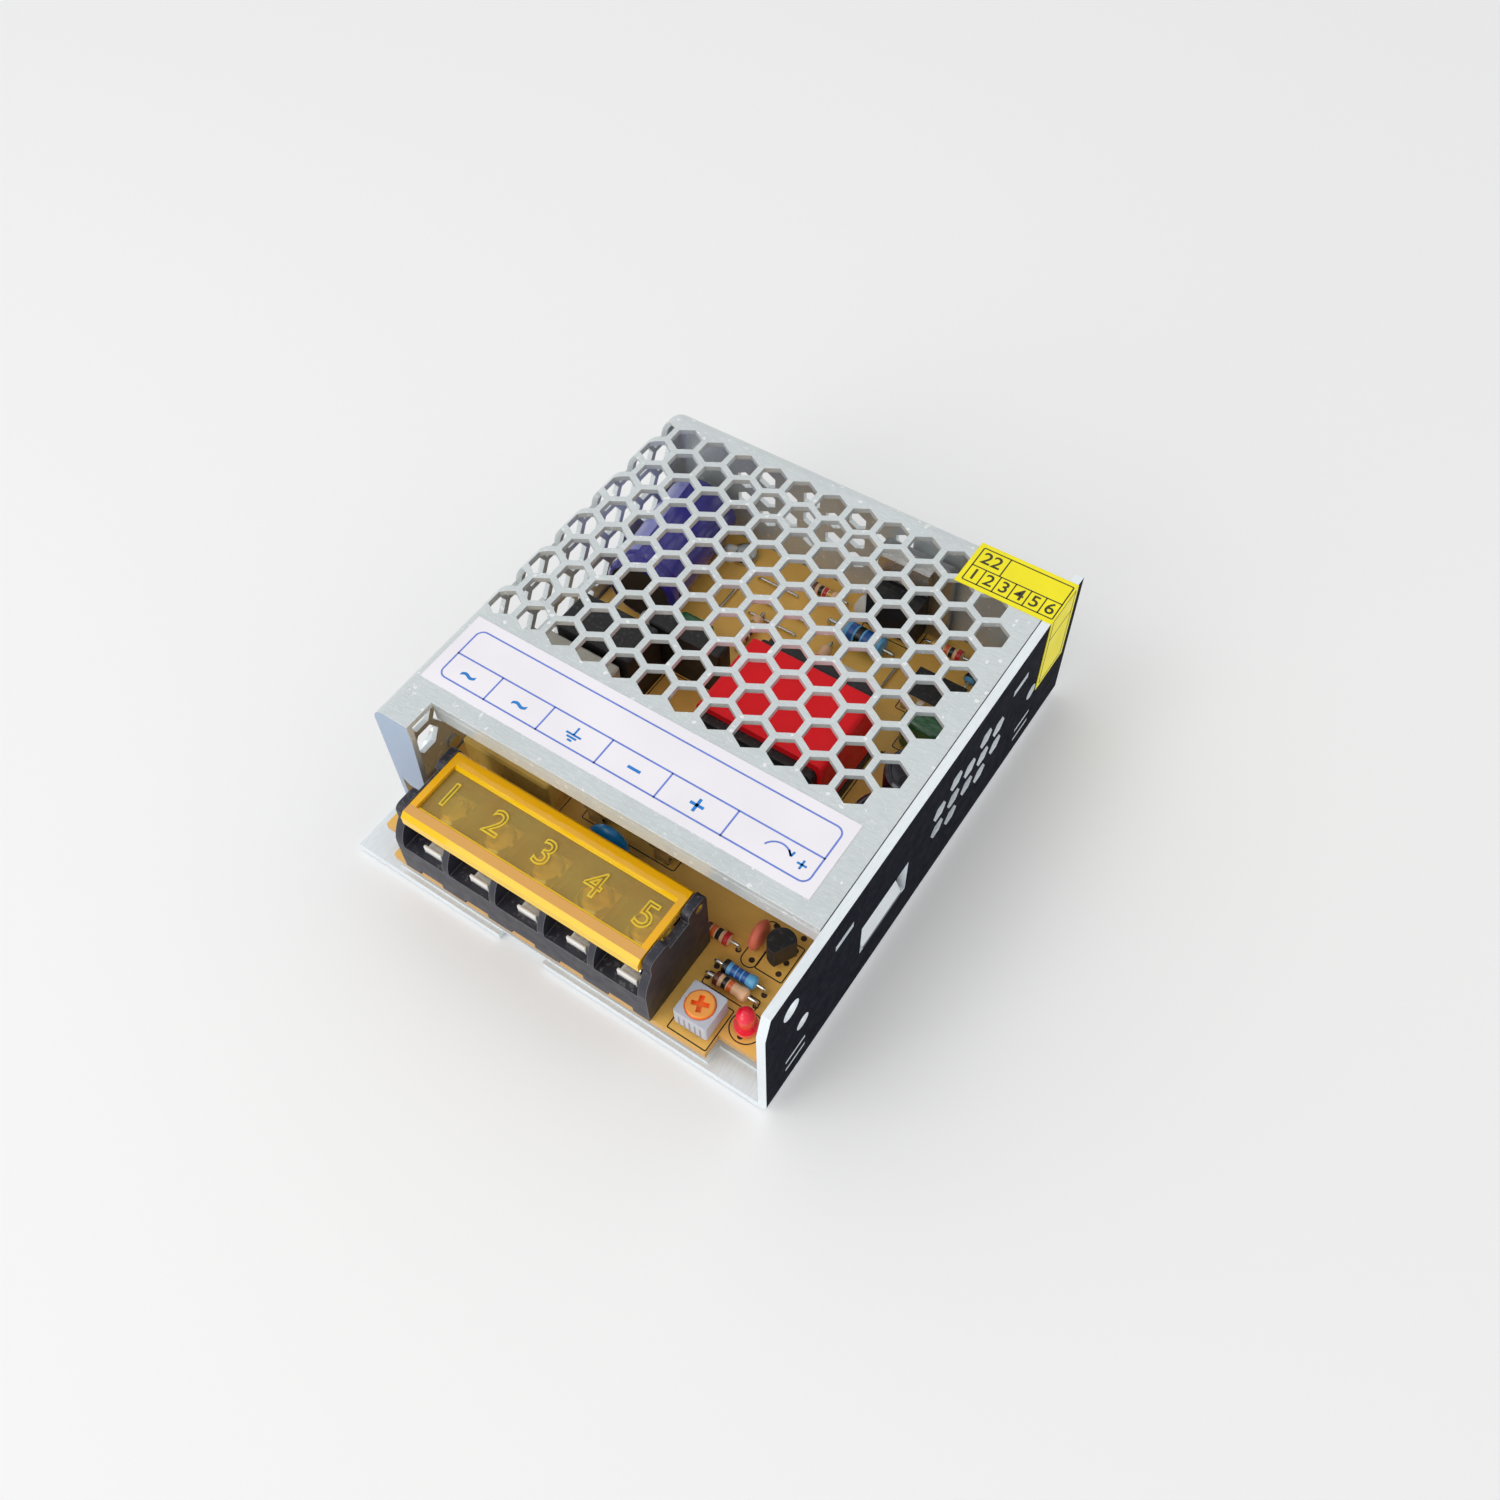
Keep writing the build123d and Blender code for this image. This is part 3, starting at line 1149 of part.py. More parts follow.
def transformer_bobbin():
    """Moulded bobbin: base plate with pin rails, and a flange at each end of the winding."""
    x, y = WINDING_CENTRE
    half = WINDING_WIDTH / 2
    reach = WINDING_DEPTH / 2
    body = block((-half, half), (-reach - BOBBIN_FLANGE, reach + BOBBIN_FLANGE), (0, CORE_BOTTOM))
    top = WINDING_TOP - BOBBIN_DROP
    inner = half - BOBBIN_INSET
    for side in (-1, 1):
        faces = sorted((side * reach, side * (reach + BOBBIN_FLANGE)))
        flange = block((-inner, inner), faces, (CORE_BOTTOM, top))
        body += fillet(edges_near(flange, Axis.Y, lambda c: c.Z > top - 0.01), WINDING_ROUND)
    return Pos(x, y, BOARD_TOP) * body


def transformer_core():
    """Ferrite yokes that close round the two ends of the winding."""
    x, y = WINDING_CENTRE
    start = WINDING_DEPTH / 2 + BOBBIN_FLANGE
    yokes = []
    for faces in ((-start - CORE_YOKE, -start), (start, start + CORE_YOKE / 2)):
        yoke = block((-CORE_WIDTH / 2, CORE_WIDTH / 2), faces, (0, CORE_TOP))
        yoke = fillet(yoke.edges().filter_by(Axis.Z), CORE_ROUND)
        yokes.append(Pos(x, y, BOARD_TOP) * yoke)
    return yokes


def fuse():
    """Glass fuse with two end caps in a pair of clips."""
    axis = FUSE_DIAMETER / 2 + FUSE_LIFT
    body = lying_x(0, 0, axis, FUSE_DIAMETER * 0.92, FUSE_LENGTH)
    for side in (-1, 1):
        x = side * (FUSE_LENGTH - FUSE_CAP) / 2
        body += lying_x(x, 0, axis, FUSE_DIAMETER, FUSE_CAP)
        half = FUSE_CAP * 0.3
        body += block((x - half, x + half), (-FUSE_DIAMETER / 2, FUSE_DIAMETER / 2), (0, 1.6 * FUSE_LIFT))
    return Pos(FUSE_AT[0], FUSE_AT[1], BOARD_TOP) * body


def power_package(lift):
    """Flat power package standing on its legs: body, mounting tab with its hole, and three legs."""
    width, depth, height = POWER_BODY
    split = lift + height * POWER_BODY_SHARE
    top = lift + height
    body = block((-width / 2, width / 2), (0, depth), (lift, split))
    tab = block((-width / 2, width / 2), (depth - POWER_TAB, depth), (split, top))
    hole = Pos(0, depth, (split + top) / 2) * Rot(90, 0, 0) * Cylinder(POWER_TAB_HOLE / 2, 4 * POWER_TAB)
    body += tab - hole
    leg_width, leg_depth = POWER_LEG
    middle = depth - POWER_TAB * 2
    for step in (-1, 0, 1):
        x = step * LEG_PITCH
        across = (x - leg_width / 2, x + leg_width / 2)
        body += block(across, (middle - leg_depth / 2, middle + leg_depth / 2), (0, lift))
    return body


def heatsink_plate():
    """Aluminium plate across the rear of the board that the power transistor is fixed to."""
    half = SINK_LENGTH / 2
    plate = block(
        (SINK_AT[0] - half, SINK_AT[0] + half),
        (SINK_REAR_Y - SINK_PLATE, SINK_REAR_Y),
        (BOARD_TOP, BOARD_TOP + SINK_HEIGHT),
    )
    return fillet(edges_near(plate, Axis.Y, lambda c: c.Z > BOARD_TOP + SINK_HEIGHT - 0.01), 1.0)


def power_transistor():
    """Switching transistor against the heatsink plate."""
    return Pos(POWER_TRANSISTOR_X, TRANSISTOR_FRONT_Y, BOARD_TOP) * power_package(POWER_LIFT)


def output_rectifier():
    """Rectifier that the wall's tongue bears on."""
    tip = WALL_INNER_X - (WINDOW_HEIGHT - TONGUE_SHORTENING) * sin(radians(TONGUE_ANGLE))
    place = Pos(tip - POWER_BODY[1], RECTIFIER_Y, BOARD_TOP)
    return place * Rot(0, 0, -90) * power_package(RECTIFIER_LIFT)


def output_capacitors():
    """Upright electrolytics along the right wall, as many as fit."""
    first = OUTPUT_CAP_START + OUTPUT_CAP_DIAMETER / 2
    return [
        Pos(OUTPUT_CAP_X, first + index * OUTPUT_CAP_PITCH, BOARD_TOP)
        * capacitor_can(OUTPUT_CAP_DIAMETER, OUTPUT_CAP_HEIGHT)
        for index in range(OUTPUT_CAP_COUNT)
    ]


def dual_in_line(size, centre, columns):
    """Moulded chip on bent legs."""
    width, depth, height = size
    low = CHIP_STANDOFF
    knee = low + CHIP_LEG_RISE
    body = Pos(0, 0, low) * Box(width, depth, height, align=(Align.CENTER, Align.CENTER, Align.MIN))
    body = chamfer(body.faces().sort_by(Axis.Z)[-1].edges(), CHIP_BEVEL)
    root = depth / 2
    tip = root + CHIP_LEG_SPREAD
    for column in range(columns):
        x = (column - (columns - 1) / 2) * LEG_PITCH
        for side in (-1, 1):
            shoulder = sorted((side * root, side * tip))
            shank = sorted((side * (tip - CHIP_LEG_SHEET), side * tip))
            wide = CHIP_SHOULDER_WIDTH / 2
            body += block((x - wide, x + wide), shoulder, (knee, knee + CHIP_LEG_SHEET))
            slim = CHIP_LEG_WIDTH / 2
            body += block((x - slim, x + slim), shank, (0, knee))
    return Pos(centre[0], centre[1], BOARD_TOP) * body


def output_inductor():
    """Toroidal output choke lying flat, its rims bevelled by the turns."""
    inner, outer = CHOKE_INNER / 2, CHOKE_OUTER / 2
    bevel = CHOKE_BEVEL
    ring = turned(
        (inner + bevel, 0),
        (outer - bevel, 0),
        (outer, bevel),
        (outer, CHOKE_HEIGHT - bevel),
        (outer - bevel, CHOKE_HEIGHT),
        (inner + bevel, CHOKE_HEIGHT),
        (inner, CHOKE_HEIGHT - bevel),
        (inner, bevel),
    )
    return Pos(CHOKE_AT[0], CHOKE_AT[1], BOARD_TOP) * ring


def signal_transistor():
    """Small half-round transistor on three legs beside the wall."""
    half = SMALL_PACKAGE_WIDTH / 2
    low = SMALL_PACKAGE_LIFT
    ends = (-half, -SMALL_PACKAGE_FLAT), (half, -SMALL_PACKAGE_FLAT)
    face = make_face(ThreePointArc(ends[0], (0, SMALL_PACKAGE_RADIUS), ends[1]) + Line(ends[1], ends[0]))
    body = Pos(0, 0, low) * extrude(face, SMALL_PACKAGE_HEIGHT)
    leg = LEG_SIDE / 2
    for step in (-1, 0, 1):
        x = step * LEG_PITCH / 2
        body += block((x - leg, x + leg), (-leg, leg), (0, low))
    return Pos(SMALL_PACKAGE_AT[0], SMALL_PACKAGE_AT[1], BOARD_TOP) * Rot(0, 0, SMALL_PACKAGE_TURN) * body


def ceramic_capacitor():
    """Thin dipped ceramic standing by the transistor."""
    return disc(CERAMIC_DIAMETER, CERAMIC_THICKNESS, CERAMIC_AT, 90, CERAMIC_LEG_PITCH)


def blue_disc_capacitor():
    """Dipped disc behind the terminals."""
    return disc(BLUE_DISC_DIAMETER, BLUE_DISC_THICKNESS, BLUE_DISC_AT, 0, DISC_LEG_PITCH)


def thermistor():
    """Inrush thermistor, a thick dark disc."""
    return disc(THERMISTOR_DIAMETER, THERMISTOR_THICKNESS, THERMISTOR_AT, 0, DISC_LEG_PITCH)


def build():
    """Every node with its solid or list of solids."""
    nodes = {
        "base_chassis": base_chassis(),
        "mesh_cover": mesh_cover(),
        "label": label(),
        "seal_sticker": seal_sticker(),
        "insulating_sheet": insulating_sheet(),
        "circuit_board": circuit_board(),
        "terminal_body": terminal_body(),
        "terminal_cover": terminal_cover(),
        "terminal_contacts": terminal_contacts(),
        "trimmer_body": trimmer_body(),
        "trimmer_rotor": trimmer_rotor(),
        "indicator_led": indicator_led(),
        "tan_resistors": resistors(TAN_RESISTORS),
        "blue_resistors": resistors(BLUE_RESISTORS),
        "power_resistor": power_resistor(),
        "ceramic_capacitor": ceramic_capacitor(),
        "blue_disc_capacitor": blue_disc_capacitor(),
        "signal_transistor": signal_transistor(),
        "input_film_capacitor": boxed(INPUT_FILM_SIZE, INPUT_FILM_AT),
        "line_film_capacitor": boxed(LINE_FILM_SIZE, LINE_FILM_AT),
        "line_filter": boxed(FILTER_SIZE, FILTER_AT),
        "fuse": fuse(),
        "thermistor": thermistor(),
        "bridge_rectifier": boxed(BRIDGE_SIZE, BRIDGE_AT),
        "bulk_capacitor": bulk_capacitor(),
        "transformer_winding": transformer_winding(),
        "transformer_bobbin": transformer_bobbin(),
        "transformer_core": transformer_core(),
        "power_transistor": power_transistor(),
        "heatsink_plate": heatsink_plate(),
        "output_rectifier": output_rectifier(),
        "output_capacitors": output_capacitors(),
        "output_inductor": output_inductor(),
        "green_film_capacitor": boxed(GREEN_FILM_SIZE, GREEN_FILM_AT, 1.4),
        "small_film_capacitor": boxed(SMALL_GREEN_SIZE, SMALL_GREEN_AT, 1.2),
        "controller_chip": dual_in_line(CHIP_SIZE, CHIP_AT, 4),
        "optocoupler": dual_in_line(OPTO_SIZE, OPTO_AT, 2),
        "board_screws": board_screws(),
        "cover_screws": cover_screws(),
    }
    for number, x in enumerate(WAY_XS, start=1):
        nodes[f"terminal_screw_{number}"] = terminal_screw(x)
        nodes[f"clamp_plate_{number}"] = clamp_plate(x)
    return nodes


def main():
    """Write one STEP file per node."""
    os.makedirs("parts", exist_ok=True)
    for name, shape in build().items():
        if isinstance(shape, list):
            shape = Compound(children=shape)
        export_step(shape, f"parts/{name}.step")


main()
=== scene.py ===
"""Dressed model of a slim mesh-case switching power supply.

Every length in the classes is in millimetres in the part's own frame: +X to the right seen
from the terminals, +Y to the rear, +Z up, with the origin under the middle of the floor.
"""

import logging
import math
import random
from collections.abc import Sequence
from dataclasses import dataclass, field
from enum import Enum

import bmesh
import bpy
from mathutils import Matrix, Vector


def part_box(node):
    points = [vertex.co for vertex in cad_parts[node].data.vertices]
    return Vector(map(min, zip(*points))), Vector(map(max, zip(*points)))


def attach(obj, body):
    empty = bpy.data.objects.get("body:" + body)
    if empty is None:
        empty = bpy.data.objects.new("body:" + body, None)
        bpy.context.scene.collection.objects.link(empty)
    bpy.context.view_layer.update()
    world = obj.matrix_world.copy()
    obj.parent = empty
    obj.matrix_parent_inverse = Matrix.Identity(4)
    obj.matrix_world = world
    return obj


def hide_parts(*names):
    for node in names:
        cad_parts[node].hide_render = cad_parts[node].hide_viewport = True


MM = 0.001
CASE_BODY = "case"
LID_BODY = "terminal_cover"
DRESS_PREFIX = "dressed_"
LOG = logging.getLogger("power_supply")
UNMOVED = Matrix.Identity(4)
CREASE_ANGLE = math.radians(35.0)
MERGE_MM = 1e-5

Colour = tuple[float, float, float]
Point = tuple[float, float, float]
Place = tuple[float, float]
Socket = bpy.types.NodeSocket

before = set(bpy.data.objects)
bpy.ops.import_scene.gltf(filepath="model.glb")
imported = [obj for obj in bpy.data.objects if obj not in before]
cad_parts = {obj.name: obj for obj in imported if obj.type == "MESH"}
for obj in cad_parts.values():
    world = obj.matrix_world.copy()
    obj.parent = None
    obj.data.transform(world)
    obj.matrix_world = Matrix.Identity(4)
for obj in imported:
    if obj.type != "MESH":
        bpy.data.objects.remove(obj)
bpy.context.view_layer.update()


def paint(red: int, green: int, blue: int) -> Colour:
    """Turn an 8-bit display colour into the linear colour that shaders take."""
    shares = (red / 255, green / 255, blue / 255)
    return tuple(c / 12.92 if c < 0.04045 else ((c + 0.055) / 1.055) ** 2.4 for c in shares)


def shaded(colour: Colour, factor: float, lift: float = 0.0) -> Colour:
    """Make a colour darker or lighter by a factor, no brighter than white."""
    return tuple(min(1.0, c * factor + lift) for c in colour)


def node_box(node: str) -> tuple[Vector, Vector]:
    """Give a node's lowest and highest corners in millimetres."""
    low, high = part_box(node)
    return low / MM, high / MM


def node_middle(node: str) -> Vector:
    """Give the middle of a node's box in millimetres."""
    low, high = node_box(node)
    return (low + high) / 2


class Axis(Enum):
    """Direction that a turned shape's own Z is laid along."""

    X = Matrix.Rotation(math.pi / 2, 4, "Y")
    Y = Matrix.Rotation(-math.pi / 2, 4, "X")


class Graph:
    """Small builder for a node material that reads Object coordinates."""

    def __init__(self, name: str) -> None:
        """Start an empty material.

        Args:
            name: The finish's name, which the material carries behind the prefix.
        """
        self.material = bpy.data.materials.new(DRESS_PREFIX + name)
        self.material.use_nodes = True
        self.tree = self.material.node_tree
        self.tree.nodes.clear()
        self.output = self.add("ShaderNodeOutputMaterial")
        self.shader = self.add("ShaderNodeBsdfPrincipled")
        given = self.add("ShaderNodeTexCoord")
        self.coordinates = given.outputs["Object"]
        self.normal = given.outputs["Normal"]
        self.link(self.shader.outputs["BSDF"], self.output.inputs["Surface"])

    def add(self, kind: str, **settings: object) -> bpy.types.Node:
        """Add a node and set its properties.

        Args:
            kind: The node's type name.
            settings: Properties of the node.

        Returns:
            The new node.
        """
        node = self.tree.nodes.new(kind)
        for name, value in settings.items():
            setattr(node, name, value)
        return node

    def link(self, source: Socket, target: Socket) -> None:
        """Join an output socket to an input socket."""
        self.tree.links.new(source, target)

    def put(self, socket: Socket, value: object) -> None:
        """Fill an input socket.

        Args:
            socket: The input to fill.
            value: An output socket to link, or a plain number or colour.
        """
        if isinstance(value, Socket):
            self.link(value, socket)
        elif isinstance(value, tuple) and len(value) == 3 and socket.type == "RGBA":
            socket.default_value = (*value, 1.0)
        else:
            socket.default_value = value

    def set(self, **values: object) -> None:
        """Fill the shader's own sockets, named with underscores for spaces."""
        for name, value in values.items():
            self.put(self.shader.inputs[name.replace("_", " ")], value)

    def scaled(self, size_mm: float, stretch: Point = (1, 1, 1)) -> Socket:
        """Scale the object coordinates so that one step is a given size.

        Args:
            size_mm: Size of a step.
            stretch: How much longer a step is along X, Y and Z.

        Returns:
            The scaled coordinates.
        """
        mapping = self.add("ShaderNodeMapping")
        mapping.inputs["Scale"].default_value = tuple(1 / (MM * size_mm * s) for s in stretch)
        self.link(self.coordinates, mapping.inputs["Vector"])
        return mapping.outputs["Vector"]

    def noise(self, size_mm: float, detail: float = 2.0, stretch: Point = (1, 1, 1)) -> Socket:
        """Add noise whose patches are about a given size.

        Args:
            size_mm: Patch size.
            detail: Number of octaves.
            stretch: How much longer the patches are along X, Y and Z.

        Returns:
            The noise factor.
        """
        noise = self.add("ShaderNodeTexNoise")
        noise.inputs["Scale"].default_value = 1.0
        noise.inputs["Detail"].default_value = detail
        self.link(self.scaled(size_mm, stretch), noise.inputs["Vector"])
        return noise.outputs["Fac"]

    def clouds(self, size_mm: float, low: float = 0.3, high: float = 0.7, detail: float = 3.0) -> Socket:
        """Add noise that runs from 0 to 1 between two of its values."""
        return self.span(self.noise(size_mm, detail), low, high)

    def cells(self, size_mm: float) -> Socket:
        """Add cells of a given size, each with a random grey value.

        Args:
            size_mm: Cell size.

        Returns:
            The cell's value.
        """
        cells = self.add("ShaderNodeTexVoronoi")
        cells.inputs["Scale"].default_value = 1.0
        self.link(self.scaled(size_mm), cells.inputs["Vector"])
        split = self.add("ShaderNodeSeparateColor")
        self.link(cells.outputs["Color"], split.inputs["Color"])
        return split.outputs["Red"]

    def span(self, value: object, low: float, high: float, start: float = 0.0, end: float = 1.0) -> Socket:
        """Stretch a value from one range to another, clamped.

        Args:
            value: The value to stretch.
            low: Value that gives the start.
            high: Value that gives the end.
            start: Result at the low value.
            end: Result at the high value.

        Returns:
            The stretched value.
        """
        node = self.add("ShaderNodeMapRange")
        self.put(node.inputs["Value"], value)
        for name, number in (("From Min", low), ("From Max", high), ("To Min", start), ("To Max", end)):
            node.inputs[name].default_value = number
        return node.outputs["Result"]

    def blend(self, factor: object, first: object, second: object) -> Socket:
        """Mix two colours.

        Args:
            factor: Share of the second colour.
            first: Colour at a factor of 0.
            second: Colour at a factor of 1.

        Returns:
            The mixed colour.
        """
        node = self.add("ShaderNodeMix", data_type="RGBA")
        self.put(node.inputs["Factor"], factor)
        self.put(node.inputs[6], first)
        self.put(node.inputs[7], second)
        return node.outputs[2]

    def calc(self, operation: str, first: object, second: object) -> Socket:
        """Do arithmetic on two values.

        Args:
            operation: The Math node's operation.
            first: First value.
            second: Second value.

        Returns:
            The result.
        """
        node = self.add("ShaderNodeMath", operation=operation)
        self.put(node.inputs[0], first)
        self.put(node.inputs[1], second)
        return node.outputs[0]

    def times(self, first: object, second: object) -> Socket:
        """Multiply two values."""
        return self.calc("MULTIPLY", first, second)

    def part_of(self, axis: str, source: Socket | None = None) -> Socket:
        """Take X, Y or Z of a vector.

        Args:
            axis: Name of the axis.
            source: The vector, or the object coordinates where none is given.

        Returns:
            The vector's part along the axis.
        """
        split = self.add("ShaderNodeSeparateXYZ")
        self.link(source or self.coordinates, split.inputs["Vector"])
        return split.outputs[axis]

    def past(self, axis: str, place_mm: float, over_mm: float) -> Socket:
        """Give 0 up to a place along an axis and 1 beyond it.

        Args:
            axis: Name of the axis.
            place_mm: Where the change starts.
            over_mm: Length of the change, negative where beyond is towards the axis's low end.

        Returns:
            The share, from 0 to 1.
        """
        return self.span(self.part_of(axis), place_mm * MM, (place_mm + over_mm) * MM)

    def facing(self, axis: str, start: float, full: float) -> Socket:
        """Give 1 where the normal's part along an axis is full, 0 where it hasn't reached the start."""
        return self.span(self.part_of(axis, self.normal), start, full)

    def facing_up(self) -> Socket:
        """Give 1 on faces that look up and 0 on the others."""
        return self.facing("Z", 0.5, 0.95)

    def rounded_normal(self, radius_mm: float) -> Socket:
        """Give the normal as if edges were rounded to a radius."""
        node = self.add("ShaderNodeBevel", samples=6)
        node.inputs["Radius"].default_value = radius_mm * MM
        return node.outputs["Normal"]

    def edges(self, width_mm: float) -> Socket:
        """Give 1 along convex and concave edges and 0 on flat areas.

        Args:
            width_mm: How far from the edge the change reaches.

        Returns:
            The share, from 0 to 1.
        """
        geometry = self.add("ShaderNodeNewGeometry")
        turn = self.add("ShaderNodeVectorMath", operation="DOT_PRODUCT")
        self.link(self.rounded_normal(width_mm), turn.inputs[0])
        self.link(geometry.outputs["Normal"], turn.inputs[1])
        return self.span(turn.outputs["Value"], 0.995, 0.85)

    def bump(self, height: object, depth_mm: float, soft_mm: float = 0.0) -> None:
        """Give the shader a relief.

        Args:
            height: Height from 0 to 1.
            depth_mm: Depth of the relief.
            soft_mm: Radius that sharp edges are rounded to.
        """
        node = self.add("ShaderNodeBump")
        node.inputs["Distance"].default_value = depth_mm * MM
        self.put(node.inputs["Height"], height)
        if soft_mm:
            self.link(self.rounded_normal(soft_mm), node.inputs["Normal"])
        self.link(node.outputs["Normal"], self.shader.inputs["Normal"])


DUST = (0.62, 0.60, 0.56)
# The next two whites are painted glints on sheet metal.
GLINT_WHITE = (0.95, 0.95, 0.97)
GLINT_FLECK = (0.97, 0.97, 0.99)
CUT_METAL = (0.92, 0.93, 0.94)


@dataclass(frozen=True)
class Finish:
    """Moulded, dipped or taped surface with drift, grain, dust and softened edges."""

    name: str
    colour: Colour
    roughness: float = 0.5
    metallic: float = 0.0
    drift: float = 0.15
    drift_mm: float = 5.0
    grain_mm: float = 0.4
    grain_depth: float = 0.02
    stretch: Point = (1, 1, 1)
    dust: float = 0.0
    edge_mm: float = 0.12
    edge_light: float = 0.12
    coat: float = 0.0
    specular: float = 0.5

    def material(self) -> bpy.types.Material:
        """Give the node material, which is wired when it is first asked for."""
        known = bpy.data.materials.get(DRESS_PREFIX + self.name)
        return known or self.wired(Graph(self.name))

    def wired(self, graph: Graph) -> bpy.types.Material:
        """Wire the shader's sockets and the relief.

        Args:
            graph: The material under construction.

        Returns:
            The finished material.
        """
        graph.set(Base_Color=self.coloured(graph), Roughness=self.rough(graph), Metallic=self.metal(graph))
        graph.set(Coat_Weight=self.coat, Coat_Roughness=0.08, Specular_IOR_Level=self.specular)
        graph.bump(self.grain(graph), self.grain_depth, self.edge_mm)
        return graph.material

    def grain(self, graph: Graph) -> Socket:
        """Add the fine grain."""
        return graph.noise(self.grain_mm, 2.0, self.stretch)

    def rough(self, graph: Graph) -> Socket:
        """Wire the roughness: cloudy, about the finish's own value."""
        cloud = graph.noise(self.drift_mm * 0.4, 3.0)
        return graph.span(cloud, 0.3, 0.7, self.roughness * 0.85, self.roughness * 1.15)

    def metal(self, graph: Graph) -> object:
        """Give the metallic value, the same all over unless a finish has zones."""
        return self.metallic

    def worn(self, graph: Graph) -> Socket:
        """Wire how far edges are worn to a lighter colour."""
        return graph.times(graph.edges(self.edge_mm), self.edge_light)

    def coloured(self, graph: Graph) -> Socket:
        """Wire the colour: drift over patches, lighter edges, dust on top faces.

        Args:
            graph: The material under construction.

        Returns:
            The colour.
        """
        shade = shaded(self.colour, 1 - self.drift)
        light = shaded(self.colour, 1 + self.drift * 0.5)
        colour = graph.blend(graph.clouds(self.drift_mm), shade, light)
        if self.edge_light:
            colour = graph.blend(self.worn(graph), colour, shaded(self.colour, 0.5, 0.5))
        if self.dust:
            specks = graph.times(graph.clouds(0.7, 0.55, 0.75, 4.0), graph.facing_up())
            colour = graph.blend(graph.times(specks, self.dust), colour, DUST)
        return colour


@dataclass(frozen=True)
class SheetFinish(Finish):
    """Rolled sheet metal: grain along one direction, bright cut edges, fine scratches and specks of painted
    glint.
    """

    speck: float = 0.25
    fleck: float = 0.0

    def coloured(self, graph: Graph) -> Socket:
        """Wire the colour: rolled grain, specks of painted glint, dull patches and bright edges.

        Args:
            graph: The material under construction.

        Returns:
            The colour.
        """
        dull, bright = (shaded(self.colour, 1 + step * self.drift) for step in (-1, 1))
        colour = graph.blend(graph.span(self.grain(graph), 0.3, 0.7), dull, bright)
        cloud = graph.times(graph.clouds(14.0, 0.45), 0.22)
        colour = graph.blend(cloud, colour, shaded(self.colour, 0.7))
        # Painted glints: sparse white specks in two sizes.
        sparkle = graph.times(graph.span(graph.cells(0.22), 0.93, 0.97), self.speck)
        colour = graph.blend(sparkle, colour, GLINT_WHITE)
        fleck = graph.times(graph.span(graph.cells(0.55), 0.978, 0.986), self.fleck)
        colour = graph.blend(fleck, colour, GLINT_FLECK)
        return graph.blend(self.worn(graph), colour, CUT_METAL)


@dataclass(frozen=True)
class FoldedFinish(SheetFinish):
    """Rolled sheet whose fold's front faces carry painted light: a painted highlight, and a painted bluish
    reflection on the flank at the left.
    """

    fold_from_mm: float = -35.0
    flank_from_mm: float = -31.15
    # Painted highlight and painted reflection on the fold's front faces.
    burnished: Colour = (0.90, 0.92, 0.94)
    flank: Colour = (0.33, 0.42, 0.56)

    def fold(self, graph: Graph) -> Socket:
        """Give 1 on the fold's front face and 0 elsewhere."""
        return graph.times(graph.facing("Y", -0.15, -0.55), graph.past("Y", self.fold_from_mm, -0.3))

    def coloured(self, graph: Graph) -> Socket:
        """Wire the colour: bare sheet, a painted highlight on the fold and a painted bluish reflection on
        the flank.
        """
        front = graph.blend(graph.past("X", self.flank_from_mm, -0.1), self.burnished, self.flank)
        return graph.blend(self.fold(graph), super().coloured(graph), front)

    def metal(self, graph: Graph) -> Socket:
        """Wire the metallic value: not metallic on the fold's front faces, where the light is painted."""
        return graph.span(self.fold(graph), 0.0, 1.0, self.metallic, 0.0)


@dataclass(frozen=True)
class WallFinish(SheetFinish):
    """Rolled sheet whose wall's outer face carries painted shade: dark navy standing for shade and dark
    reflection.
    """

    outer_from_mm: float = 40.85
    # outer is painted shade: the dark navy of the wall's outer face, with a paler tone for its grain.
    outer: Colour = (0.002, 0.0025, 0.007)
    outer_light: Colour = (0.006, 0.008, 0.020)
    outer_duller: float = 0.22

    def outside(self, graph: Graph) -> Socket:
        """Give 1 on the wall's outer face, where the shade is painted, and 0 elsewhere."""
        return graph.times(graph.facing("X", 0.8, 0.95), graph.past("X", self.outer_from_mm, 0.05))

    def coloured(self, graph: Graph) -> Socket:
        """Wire the colour: bare sheet, and painted shade, dark and fine-grained, on the outer face."""
        weave = graph.span(graph.noise(0.5, 2.0, (1, 1, 3)), 0.4, 0.65)
        dark = graph.blend(weave, self.outer, self.outer_light)
        return graph.blend(self.outside(graph), super().coloured(graph), dark)

    def rough(self, graph: Graph) -> Socket:
        """Wire the roughness: duller on the face with painted shade."""
        return graph.calc("ADD", super().rough(graph), graph.times(self.outside(graph), self.outer_duller))

    def metal(self, graph: Graph) -> Socket:
        """Wire the metallic value: bare metal except on the face with painted shade."""
        return graph.span(self.outside(graph), 0.0, 1.0, self.metallic, 0.0)


